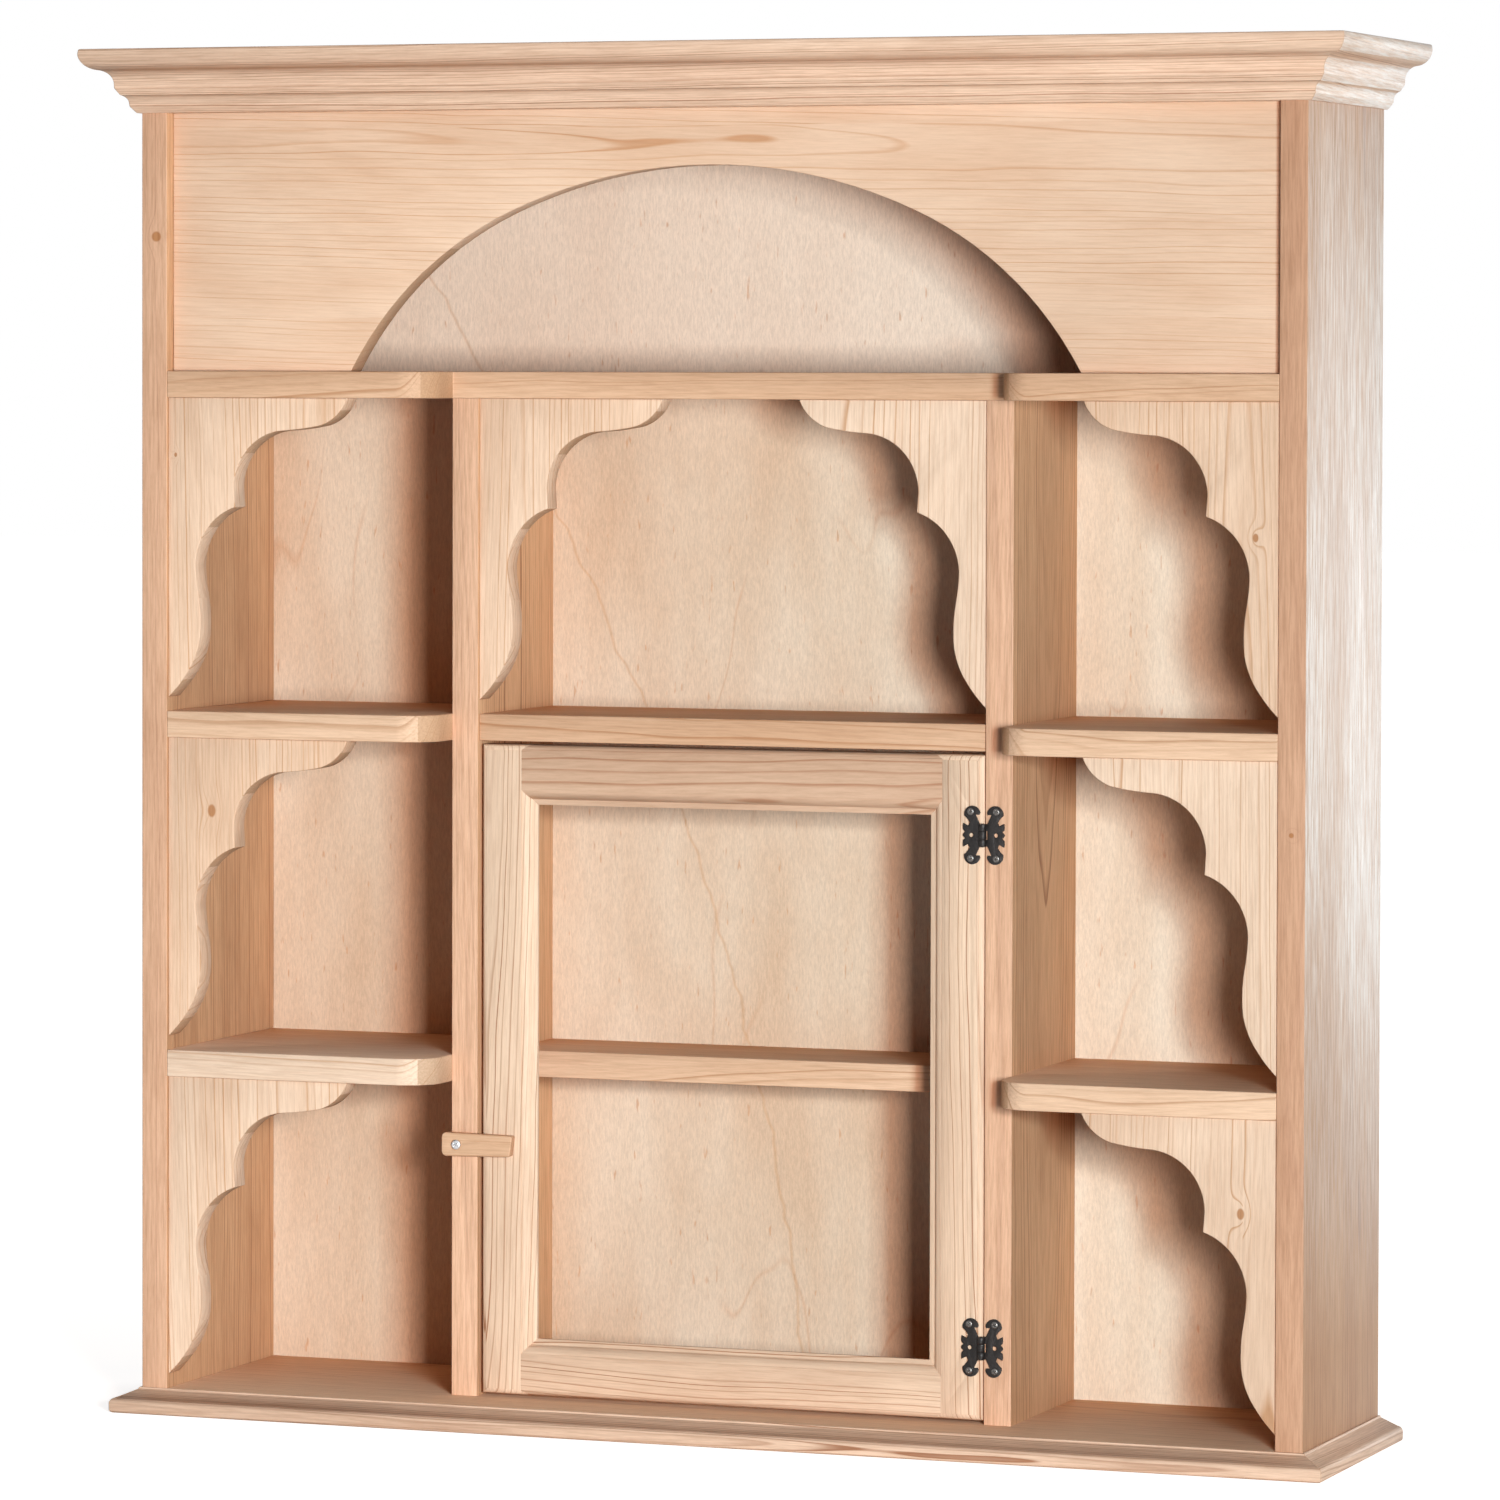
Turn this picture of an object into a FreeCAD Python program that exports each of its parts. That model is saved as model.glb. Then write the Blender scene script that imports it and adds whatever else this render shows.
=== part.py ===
import FreeCAD
import Part
import math
import os
import re
import Sketcher

# Pine bar cabinet: a wide carcass with two open side bays, a niche between them, and a framed door
# under the niche. Millimetres. X runs to the right, Y to the back and Z up. The origin is the
# centre of the cabinet's bounding box, on the floor. Every depth is measured from the front plane,
# which holds the front edges of the two side boards.

LEFT = -1
RIGHT = 1
SIDE_NAMES = {LEFT: "left", RIGHT: "right"}

SIZES = [
    # Carcass
    ("carcass_width", 1100, "over the outer faces of the side boards"),
    ("side_depth", 241, "front edge to back edge of a side board"),
    ("total_height", 1240, "floor to the top board's upper face"),
    ("board_thickness", 25, "side boards and dividers"),
    ("shelf_thickness", 24, "all the shelves"),
    ("arch_bay_height", 267, "clear height behind the arch, top shelf to top board"),
    ("bottom_thickness", 22, "bottom board, which lies on the floor"),
    ("top_thickness", 24, "top board"),
    ("back_thickness", 5, "plywood back"),
    ("back_rebate", 10, "how far the back reaches into each side board"),
    ("niche_width", 484, "clear width between the dividers"),
    ("divider_recess", 56, "dividers' front edges behind the front plane"),
    ("housing_depth", 6, "how far a shelf's end sits in a board"),
    ("housing_stop", 14, "a housing starts this far behind the edge in front of it"),
    # Shelf fronts
    ("corner_radius", 32, "rounded corner of a projecting shelf"),
    ("niche_shelf_recess", 3, "niche shelf behind the dividers' front edges"),
    ("inner_shelf_recess", 64, "shelf behind the door, from the dividers' front edges"),
    # Arched fascia
    ("fascia_recess", 14, "face of the fascia behind the front plane"),
    ("fascia_thickness", 24, "fascia board"),
    ("arch_span", 691, "width of the arch at its feet"),
    ("arch_rise", 183.5, "height of the arch over its feet"),
    ("arch_offset", 3.5, "the arch stands left of the middle by this much"),
    # Scalloped brackets
    ("bracket_recess", 3, "bracket behind the front edge of the board that it stands on"),
    ("bracket_thickness", 24, "bracket"),
    ("bracket_foot_gap", 12.5, "from a bracket's lower end to the shelf under it"),
    ("bracket_width_share", 0.65, "a bracket's width as a share of its height"),
    # Mouldings
    ("crown_height", 57, "crown moulding"),
    ("crown_depth", 44, "nose of the crown, out from the board"),
    ("base_depth", 23, "base moulding, out from the board"),
    # Door
    ("door_thickness", 22, "stiles and rails"),
    ("latch_gap", 3.5, "beside the door on the latch side"),
    ("hinge_gap", 1.5, "beside the door on the hinge side"),
    ("door_end_gap", 3, "under and over the door"),
    ("stile_width", 52, "whole stile, with its moulding"),
    ("top_rail_width", 54, "whole top rail, with its moulding"),
    ("bottom_rail_width", 51, "whole bottom rail, with its moulding"),
    ("sticking_width", 13, "moulding round the door's opening"),
    ("sticking_depth", 11, "moulding round the door's opening"),
    ("pane_rebate", 10, "rebate behind that moulding"),
    ("edge_round", 5, "rounded outer edge of the door"),
    ("edge_quirk", 0.9, "small step inside the rounded edge"),
    ("tenon_thickness", 7, "rail's tenons"),
    ("tenon_length", 20, "rail's tenons"),
    ("tenon_shoulder", 10, "shoulder between a tenon and the door's outer edge"),
    # Butterfly hinges
    ("hinge_drop", 70.4, "upper hinge's middle under the door's head"),
    ("hinge_lift", 65.1, "lower hinge's middle over the door's foot"),
    ("axis_out", 4, "pin axis in front of the door's face"),
    ("leaf_thickness", 1.8, "hinge leaf"),
    ("leaf_width", 19.5, "pin axis to a leaf's outer edge"),
    ("leaf_half_height", 25.8, "middle of a leaf to its end"),
    ("knuckle_radius", 3.4, "hinge barrel"),
    ("barrel_length", 20, "all three knuckles of a hinge"),
    ("middle_knuckle", 7, "the door leaf's knuckle"),
    ("pin_radius", 1.5, "hinge pin"),
    ("pin_end", 0.6, "domed end of a pin past its barrel"),
    ("spare_hole", 3.8, "empty hole in the middle of a leaf"),
    ("spare_hole_out", 11.5, "empty hole from the pin axis"),
    # Screws
    ("hinge_screw_out", 11.9, "hinge screws from the pin axis"),
    ("hinge_screw_rise", 20.6, "hinge screws over and under the hinge's middle"),
    ("hinge_head", 6.4, "hinge screw's head across"),
    ("hinge_head_rise", 1.5, "hinge screw's head over its seat"),
    ("hinge_shank", 3, "hinge screw's shank across"),
    ("hinge_screw_length", 16, "hinge screw under its head"),
    ("latch_head", 9, "latch screw's head across"),
    ("latch_head_rise", 3, "latch screw's head over its seat"),
    ("latch_shank", 4.2, "latch screw's shank across"),
    ("latch_screw_length", 30, "latch screw under its head"),
    # Turning latch
    ("latch_drop", 80.5, "latch screw under the lower shelves' upper faces"),
    ("latch_inset", 17, "latch screw outside the divider's niche face"),
    ("latch_tail", 15, "screw to the latch's short end"),
    ("latch_reach", 54, "screw to the latch's long end"),
    ("latch_slant", 2.5, "the long end's lower corner stands back this far"),
    ("latch_wide", 21.5, "height of the short end"),
    ("latch_narrow", 19, "height of the long end"),
    ("latch_thickness", 8, "latch"),
    ("latch_corner", 4.5, "rounded corners of the short end"),
    ("latch_tip_corner", 2, "rounded corners of the long end"),
    ("latch_arris", 1.2, "rounded edges of the latch's face"),
    # Clearances and the overrun of cuts
    ("running_gap", 0.3, "between a moving piece and what it passes"),
    ("pin_gap", 0.05, "round a pin or a screw in its hole"),
    ("overrun", 5, "how far a cut runs past what it cuts"),
]

FORMULAS = [
    ("front_plane", "-(side_depth - crown_depth) / 2", "place of the front plane along Y"),
    ("half_width", "carcass_width / 2", "middle to a side board's outer face"),
    ("inside_half", "half_width - board_thickness", "middle to a side board's inner face"),
    ("niche_half", "niche_width / 2", "middle to a divider's niche face"),
    ("divider_face", "niche_half + board_thickness", "middle to a divider's bay face"),
    ("bay_width", "inside_half - divider_face", "clear width of a side bay"),
    ("shelf_back", "side_depth - back_thickness", "where the shelves meet the back"),
    ("side_height", "total_height - top_thickness", "underside of the top board"),
    ("crown_level", "total_height - crown_height", "underside of the crown"),
    ("arch_level", "side_height - arch_bay_height", "upper face of the top shelf"),
    ("shelf_pitch", "(arch_level - bottom_thickness) / 3", "one shelf's upper face to the next"),
    ("lower_top", "bottom_thickness + shelf_pitch", "upper face of the lower shelves"),
    ("upper_top", "lower_top + shelf_pitch", "upper face of the upper shelves"),
    ("bracket_height", "shelf_pitch - shelf_thickness - bracket_foot_gap", "down the board"),
    ("bracket_width", "bracket_height * bracket_width_share", "along the shelf above it"),
    ("divider_depth", "shelf_back - divider_recess", "front edge to back edge of a divider"),
    ("divider_top", "arch_level - shelf_thickness", "underside of the top shelf"),
    ("door_left", "-niche_half + latch_gap", "door's latch edge"),
    ("door_right", "niche_half - hinge_gap", "door's hinge edge, in line with the pins"),
    ("door_width", "door_right - door_left", "edge to edge"),
    ("door_foot", "bottom_thickness + door_end_gap", "door's lower edge over the floor"),
    ("door_head", "upper_top - shelf_thickness - door_end_gap", "door's upper edge over the floor"),
    ("door_height", "door_head - door_foot", "foot to head"),
    ("stile_face", "stile_width - sticking_width", "a stile's outer edge to its moulding"),
    ("stile_back", "stile_width - pane_rebate", "a stile's width behind its moulding"),
    ("tenon_front", "(door_thickness + sticking_depth - tenon_thickness) / 2", "tenon's near face"),
    ("upper_hinge", "door_height - hinge_drop", "upper hinge's middle over the door's foot"),
    ("knuckle_half", "middle_knuckle / 2", "hinge's middle to the end of its middle knuckle"),
    ("barrel_half", "barrel_length / 2", "hinge's middle to the end of its barrel"),
    ("latch_level", "lower_top - latch_drop", "latch screw over the floor"),
    ("leaf_edge", "knuckle_radius + running_gap", "leaf's edge beside the other leaf's knuckles"),
]

# Outlines as shares of the piece that they belong to. A third share makes the edge that leads to
# its point an arc: it is the tangent of a quarter of the arc's turn, positive where the arc bulges
# outward and negative where it is hollow.

# Crown: out as shares of its depth, up as shares of its height. From the bottom a slope, a small
# cove, a fillet, and an ogee that ends in the nose.
CROWN_SHARES = [
    (0, 0),
    (0.086, 0),
    (0.195, 0.104),
    (0.205, 0.168),
    (0.341, 0.281, -0.3),
    (0.432, 0.384),
    (0.439, 0.465),
    (0.689, 0.672, -0.375),
    (1, 0.91, 0.36),
    (0.98, 1, 0.08),
    (0, 1),
]

# Base moulding, drawn the same way: a rounded nose under a slope and a small step.
BASE_SHARES = [
    (0, 0),
    (0.87, 0),
    (1, 0.14, 0.414),
    (1, 0.41),
    (0.8, 0.62, 0.36),
    (0.11, 0.93),
    (0.11, 1),
    (0, 1),
]

# Arch: across from its middle as shares of half its span, up as shares of its rise. A wide arc
# over the middle between two narrower ones, in line where they meet.
ARCH_SHARES = [
    (-1, 0),
    (-0.553, 0.779, -0.1673),
    (0.553, 0.779, -0.2126),
    (1, 0, -0.1673),
]

# Bracket: out from the board as shares of its width, down from the shelf as shares of its height.
# A rounded tip, a long slope, two coves with a cusp between them, and a tail that thins out.
BRACKET_SHARES = [
    (0, 0),
    (1, 0),
    (0.847, 0.0917, 0.237),
    (0.638, 0.109, 0.04),
    (0.367, 0.297, -0.384),
    (0.3744, 0.364),
    (0.1525, 0.558, -0.32),
    (0.1694, 0.6587, -0.04),
    (0.1784, 0.7927, 0.061),
    (0.1146, 0.908, 0.116),
    (0, 1, 0.06),
]

# The door's moulding: from the flat of the frame toward the opening as shares of its width, back
# as shares of its depth. A small step, a round, a fillet and the edge of the opening.
STICKING_SHARES = [
    (0, 0),
    (0, 0.09),
    (0.56, 0.5, 0.27),
    (0.62, 0.62),
    (1, 0.7),
    (1, 1),
]

# Upper half of a butterfly leaf, from the middle of its outer edge round the wing to the barrel:
# out from the pin axis as shares of the leaf's width, up as shares of its half height.
WING_SHARES = [
    (1, 0),
    (0.88, 0.105, 0.2),
    (0.975, 0.18),
    (0.97, 0.405, 0.12),
    (0.735, 0.31),
    (0.66, 0.43),
    (0.925, 0.66, -0.1),
    (0.605, 1, 0.41),
    (0.168, 0.76, 0.4),
    (0.205, 0.69),
    (0.384, 0.695),
]

# The tangent of a quarter of a quarter turn: the share that makes an arc a quarter of a circle.
QUARTER = "0.41421356"

ALIASES = {name for name, _, _ in SIZES + FORMULAS}

document = FreeCAD.newDocument("BarCabinet")
sheet = document.addObject("Spreadsheet::Sheet", "Sizes")
parts = []


def fill_sheet():
    """Write the driving sizes as plain numbers, and what follows from them as formulas."""
    rows = [(name, str(size), note) for name, size, note in SIZES]
    rows += [(name, "=" + formula, note) for name, formula, note in FORMULAS]
    for row, (name, content, note) in enumerate(rows, start=1):
        sheet.set(f"A{row}", name)
        sheet.set(f"B{row}", content)
        sheet.set(f"C{row}", note)
        sheet.setAlias(f"B{row}", name)
    document.recompute()


def in_sheet(text):
    """The expression with each size's name pointed at the sheet."""
    found = lambda word: f"Sizes.{word[0]}" if word[0] in ALIASES else word[0]
    return re.sub(r"[a-z]\w*", found, text)


def value(text):
    """The number that an expression gives now."""
    return float(sheet.evalExpression(in_sheet(text)))


def bind(item, path, text):
    item.setExpression(path, in_sheet(text))


def place(item, x="0", y="0", z="0", turn=0):
    """Put a piece at x, y behind the front plane and z over the floor, turned about Z."""
    item.Placement = FreeCAD.Placement(FreeCAD.Vector(), FreeCAD.Rotation(turn, 0, 0))
    bind(item, "Placement.Base.x", x)
    bind(item, "Placement.Base.y", f"front_plane + ({y})")
    bind(item, "Placement.Base.z", z)


# Outlines are lists of corners (x, y) or (x, y, bulge), each an expression over the sheet's names.


def negative(text, about="0"):
    """The expression mirrored about another one."""
    if text == "0":
        return about
    return f"-({text})" if about == "0" else f"{about} - ({text})"


def mirrored(corners, about="0"):
    """Left and right exchanged, about an upright line."""
    return [(negative(x, about), y, *map(negative, bulge)) for x, y, *bulge in corners]


def flipped(corners, about="0"):
    """Up and down exchanged, about a level line."""
    return [(x, negative(y, about), *map(negative, bulge)) for x, y, *bulge in corners]


def swapped(corners):
    """The two directions exchanged."""
    return [(y, x, *map(negative, bulge)) for x, y, *bulge in corners]


def retraced(corners):
    """The same open run of corners, walked from its end to its start."""
    bulges = [[negative(text) for text in corner[2:]] for corner in corners[1:]] + [[]]
    return [(x, y, *bulges[n]) for n, (x, y, *_) in reversed(list(enumerate(corners)))]


def scaled(shares, across, up):
    """Corners from shares of two sizes."""
    corners = []
    for x_share, y_share, *bulge_share in shares:
        x = f"{across} * {x_share}" if x_share else "0"
        y = f"{up} * {y_share}" if y_share else "0"
        corners.append((x, y, *map(str, bulge_share)))
    return corners


def rectangle(x0, y0, x1, y1):
    return [(x0, y0), (x1, y0), (x1, y1), (x0, y1)]


def inward(corners, side):
    """Corners drawn from a side toward the middle: mirrored on the right."""
    return mirrored(corners) if side == RIGHT else corners


def pin_down(sketch, edge, end, x, y):
    """Hold one point of an edge at x, y."""
    for kind, axis, text in (("DistanceX", -2, x), ("DistanceY", -1, y)):
        if text == "0":
            sketch.addConstraint(Sketcher.Constraint("PointOnObject", edge, end, axis))
        else:
            held = sketch.addConstraint(Sketcher.Constraint(kind, -1, 1, edge, end, value(text)))
            bind(sketch, f"Constraints[{held}]", text)


def arc_between(start, end, bulge):
    """The arc from start to end, whose quarter turn has the tangent bulge."""
    chord = end - start
    across = FreeCAD.Vector(-chord.y, chord.x, 0)
    centre = (start + end) / 2 + across * ((1 - bulge**2) / (4 * bulge))
    ends = (start, end) if bulge > 0 else (end, start)
    angles = [math.atan2(point.y - centre.y, point.x - centre.x) for point in ends]
    if angles[1] < angles[0]:
        angles[1] += 2 * math.pi
    circle = Part.Circle(centre, FreeCAD.Vector(0, 0, 1), (start - centre).Length)
    return Part.ArcOfCircle(circle, *angles)


def draw_loop(sketch, corners):
    """A closed loop of lines and arcs through the corners."""
    points = [FreeCAD.Vector(value(corner[0]), value(corner[1]), 0) for corner in corners]
    ends = []
    for n, (x, y, *bulge) in enumerate(corners):
        start, end = points[n - 1], points[n]
        if not bulge:
            edge = sketch.addGeometry(Part.LineSegment(start, end), False)
            ends.append((edge, 1, 2))
            continue
        edge = sketch.addGeometry(arc_between(start, end, value(bulge[0])), False)
        ends.append((edge, 1, 2) if value(bulge[0]) > 0 else (edge, 2, 1))
        last_x, last_y = corners[n - 1][:2]
        chord = f"sqrt((({x}) - ({last_x})) ^ 2 + (({y}) - ({last_y})) ^ 2)"
        radius = f"{chord} * (1 + ({bulge[0]}) ^ 2) / (4 * abs({bulge[0]}))"
        held = sketch.addConstraint(Sketcher.Constraint("Radius", edge, value(radius)))
        bind(sketch, f"Constraints[{held}]", radius)
    for n, (x, y, *_) in enumerate(corners):
        edge, _, end = ends[n]
        next_edge, next_start, _ = ends[(n + 1) % len(ends)]
        sketch.addConstraint(Sketcher.Constraint("Coincident", edge, end, next_edge, next_start))
        pin_down(sketch, edge, end, x, y)


def draw_circle(sketch, x, y, diameter):
    centre = FreeCAD.Vector(value(x), value(y), 0)
    circle = Part.Circle(centre, FreeCAD.Vector(0, 0, 1), value(diameter) / 2)
    edge = sketch.addGeometry(circle, False)
    held = sketch.addConstraint(Sketcher.Constraint("Diameter", edge, value(diameter)))
    bind(sketch, f"Constraints[{held}]", diameter)
    pin_down(sketch, edge, 3, x, y)


def new_body(label):
    body = document.addObject("PartDesign::Body", label)
    body.Label = label
    return body


def draw(body, plane, loops=(), circles=(), lift="0"):
    """A sketch on one of the body's own planes, or lifted off it along the plane's normal."""
    sketch = body.newObject("Sketcher::SketchObject", "Outline")
    own = [plane_or_axis for plane_or_axis in body.Origin.OriginFeatures if plane_or_axis.Role == plane]
    sketch.AttachmentSupport = [(own[0], "")]
    sketch.MapMode = "FlatFace"
    if lift != "0":
        bind(sketch, "AttachmentOffset.Base.z", lift)
    for corners in loops:
        draw_loop(sketch, corners)
    for circle in circles:
        draw_circle(sketch, *circle)
    return sketch


FLOOR_PLANE = "XY_Plane"
FRONT_PLANE = "XZ_Plane"
SIDE_PLANE = "YZ_Plane"


def pad(body, sketch, length, backward=False):
    """Add material along the sketch's normal, or against it where backward."""
    feature = body.newObject("PartDesign::Pad", "Pad")
    feature.Profile = sketch
    feature.Reversed = backward
    bind(feature, "Length", length)
    return feature


def pocket(body, sketch, depth, forward=False):
    """Cut against the sketch's normal, or along it where forward."""
    feature = body.newObject("PartDesign::Pocket", "Pocket")
    feature.Profile = sketch
    feature.Reversed = forward
    bind(feature, "Length", depth)
    return feature


def revolve(body, sketch):
    """Turn a half profile about the sketch's upright axis."""
    feature = body.newObject("PartDesign::Revolution", "Revolution")
    feature.Profile = sketch
    feature.ReferenceAxis = (sketch, ["V_Axis"])
    feature.Angle = 360


def panel(label, width, depth, height, y="0", z="0"):
    """A plain board, centred from left to right."""
    board = document.addObject("Part::Box", label)
    board.Label = label
    bind(board, "Length", width)
    bind(board, "Width", depth)
    bind(board, "Height", height)
    place(board, f"-({width}) / 2", y, z)
    parts.append(board)


def housings(body, face, runs, to_right):
    """Stopped housings in a board's face: runs of (front, back, upper face of the shelf)."""
    loops = [rectangle(front, f"{top} - shelf_thickness", back, top) for front, back, top in runs]
    pocket(body, draw(body, SIDE_PLANE, loops, lift=face), "housing_depth", forward=to_right)


def side_board(side):
    """Outer board with a rebate for the back and a stopped housing for each shelf."""
    body = new_body(f"side_board_{SIDE_NAMES[side]}")
    section = [
        ("0", "0"),
        ("board_thickness", "0"),
        ("board_thickness", "shelf_back"),
        ("board_thickness - back_rebate", "shelf_back"),
        ("board_thickness - back_rebate", "side_depth"),
        ("0", "side_depth"),
    ]
    pad(body, draw(body, FLOOR_PLANE, [inward(section, side)]), "side_height")
    face = "-board_thickness" if side == RIGHT else "board_thickness"
    tops = ("lower_top", "upper_top", "arch_level")
    runs = [("housing_stop", "side_depth + overrun", top) for top in tops]
    housings(body, face, runs, to_right=side == RIGHT)
    place(body, "half_width" if side == RIGHT else "-half_width")
    parts.append(body)


def divider(side):
    """Inner board, housed for the side shelves outside and for the niche's shelves inside."""
    body = new_body(f"divider_{SIDE_NAMES[side]}")
    section = rectangle("0", "0", "board_thickness", "divider_depth")
    outward = mirrored(inward(section, side))
    pad(body, draw(body, FLOOR_PLANE, [outward]), "divider_top - bottom_thickness")
    back = "divider_depth + overrun"
    lower, upper = "lower_top - bottom_thickness", "upper_top - bottom_thickness"
    outer_face = "board_thickness" if side == RIGHT else "-board_thickness"
    outside = [("housing_stop", back, top) for top in (lower, upper)]
    housings(body, outer_face, outside, to_right=side == LEFT)
    inside = [
        ("inner_shelf_recess + housing_stop", back, lower),
        ("niche_shelf_recess + housing_stop", back, upper),
    ]
    housings(body, "0", inside, to_right=side == RIGHT)
    if side == LEFT:
        hole = "latch_shank + 2 * pin_gap"
        screws = [("-latch_inset", "latch_level - bottom_thickness", hole)]
        depth = "latch_screw_length - latch_thickness"
    else:
        hole = "hinge_shank + 2 * pin_gap"
        levels = [f"door_end_gap + {level}" for level in hinge_screw_levels()]
        screws = [("hinge_screw_out - hinge_gap", level, hole) for level in levels]
        depth = "hinge_screw_length - leaf_thickness"
    pocket(body, draw(body, FRONT_PLANE, circles=screws), depth)
    place(body, "niche_half" if side == RIGHT else "-niche_half", "divider_recess", "bottom_thickness")
    parts.append(body)


def side_shelf(side, level):
    """A bay's shelf: it runs out to the front plane, past its divider, with a rounded corner."""
    body = new_body(f"{level}_shelf_{SIDE_NAMES[side]}")
    outline = [
        ("0", "0"),
        ("bay_width - corner_radius", "0"),
        ("bay_width", "corner_radius", QUARTER),
        ("bay_width", "divider_recess + housing_stop"),
        ("bay_width + housing_depth", "divider_recess + housing_stop"),
        ("bay_width + housing_depth", "shelf_back"),
        ("-housing_depth", "shelf_back"),
        ("-housing_depth", "housing_stop"),
        ("0", "housing_stop"),
    ]
    pad(body, draw(body, FLOOR_PLANE, [inward(outline, side)]), "shelf_thickness")
    x = "inside_half" if side == RIGHT else "-inside_half"
    place(body, x, z=f"{level}_top - shelf_thickness")
    parts.append(body)


def top_shelf():
    """One board over both bays and the niche, cut back to the dividers' fronts in the middle."""
    body = new_body("top_shelf")
    outline = [
        ("-inside_half", "0"),
        ("-divider_face - corner_radius", "0"),
        ("-divider_face", "corner_radius", QUARTER),
        ("-divider_face", "divider_recess"),
        ("divider_face", "divider_recess"),
        ("divider_face", "corner_radius"),
        ("divider_face + corner_radius", "0", QUARTER),
        ("inside_half", "0"),
        ("inside_half", "housing_stop"),
        ("inside_half + housing_depth", "housing_stop"),
        ("inside_half + housing_depth", "shelf_back"),
        ("-inside_half - housing_depth", "shelf_back"),
        ("-inside_half - housing_depth", "housing_stop"),
        ("-inside_half", "housing_stop"),
    ]
    pad(body, draw(body, FLOOR_PLANE, [outline]), "shelf_thickness")
    place(body, z="divider_top")
    parts.append(body)


def niche_board(label, top, recess):
    """A shelf housed between the dividers, recessed behind their front edges."""
    body = new_body(label)
    depth = f"divider_depth - {recess}"
    outline = [
        ("-niche_half", "0"),
        ("niche_half", "0"),
        ("niche_half", "housing_stop"),
        ("niche_half + housing_depth", "housing_stop"),
        ("niche_half + housing_depth", depth),
        ("-niche_half - housing_depth", depth),
        ("-niche_half - housing_depth", "housing_stop"),
        ("-niche_half", "housing_stop"),
    ]
    pad(body, draw(body, FLOOR_PLANE, [outline]), "shelf_thickness")
    place(body, y=f"divider_recess + {recess}", z=f"{top} - shelf_thickness")
    parts.append(body)


def arch_fascia():
    """Board with the wide arch, standing on the top shelf."""
    body = new_body("arch_fascia")
    arch = scaled(ARCH_SHARES, "arch_span / 2", "arch_rise")
    outline = [("-inside_half", "0")]
    outline += [(f"{x} - arch_offset", *rest) for x, *rest in arch]
    outline += [
        ("inside_half", "0"),
        ("inside_half", "side_height - arch_level"),
        ("-inside_half", "side_height - arch_level"),
    ]
    pad(body, draw(body, FRONT_PLANE, [outline]), "fascia_thickness", backward=True)
    place(body, y="fascia_recess", z="arch_level")
    parts.append(body)


def bracket(label, side, board_face, board_front, top):
    """Scalloped bracket on a board's face, under the shelf whose upper face is at top."""
    body = new_body(label)
    outline = flipped(scaled(BRACKET_SHARES, "bracket_width", "bracket_height"))
    sketch = draw(body, FRONT_PLANE, [inward(outline, side)])
    pad(body, sketch, "bracket_thickness", backward=True)
    x = board_face if side == RIGHT else f"-{board_face}"
    place(body, x, f"{board_front} + bracket_recess", f"{top} - shelf_thickness")
    parts.append(body)


def moulding(label, shares, reach, height, length, mitres, x, y, z, turn=0):
    """A moulding with its back on a board, running along X, mitred at its start, end or both."""
    body = new_body(label)
    profile = mirrored(scaled(shares, reach, height))
    spare = f"({reach} + overrun)"
    start = f"-{spare}" if "start" in mitres else "0"
    run = f"{length} + {len(mitres)} * {spare}"
    pad(body, draw(body, SIDE_PLANE, [profile], lift=start), run)
    wedge = [("0", "0"), (f"-{spare}", f"-{spare}"), (f"-{spare}", "0")]
    cuts = {"start": wedge, "end": mirrored(wedge, length)}
    sketch = draw(body, FLOOR_PLANE, [cuts[mitre] for mitre in mitres], lift="-overrun")
    pocket(body, sketch, f"{height} + 2 * overrun", forward=True)
    place(body, x, y, z, turn)
    parts.append(body)


def moulding_round(name, shares, reach, height, level):
    """The same moulding along the front and back along both sides."""
    sizes = (shares, reach, height)
    both = ["start", "end"]
    moulding(f"{name}_front", *sizes, "carcass_width", both, "-half_width", "0", level)
    moulding(f"{name}_right", *sizes, "side_depth", both[:1], "half_width", "0", level, 90)
    moulding(f"{name}_left", *sizes, "side_depth", both[1:], "-half_width", "side_depth", level, -90)


def sticking(width):
    """The moulded inner edge of a door piece, as corners from its outer edge inward and back."""
    corners = []
    for across_share, back_share, *bulge_share in STICKING_SHARES:
        across = f"{width} - sticking_width + sticking_width * {across_share}"
        back = f"sticking_depth * {back_share}" if back_share else "0"
        corners.append((across, back, *map(str, bulge_share)))
    return corners


def frame_section(width):
    """Section of a door piece, from its outer edge inward and from its face back."""
    edge = [
        ("0", "edge_quirk + edge_round"),
        ("edge_round", "edge_quirk", QUARTER),
        ("edge_round", "0"),
    ]
    back = [
        (f"{width} - pane_rebate", "sticking_depth"),
        (f"{width} - pane_rebate", "door_thickness"),
        ("0", "door_thickness"),
    ]
    return edge + sticking(width) + back


def tenon_section(width):
    """Section of a rail's tenon, from the rail's outer edge inward and from its face back."""
    back = "tenon_front + tenon_thickness"
    return rectangle("tenon_shoulder", "tenon_front", f"{width} - pane_rebate", back)


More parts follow.
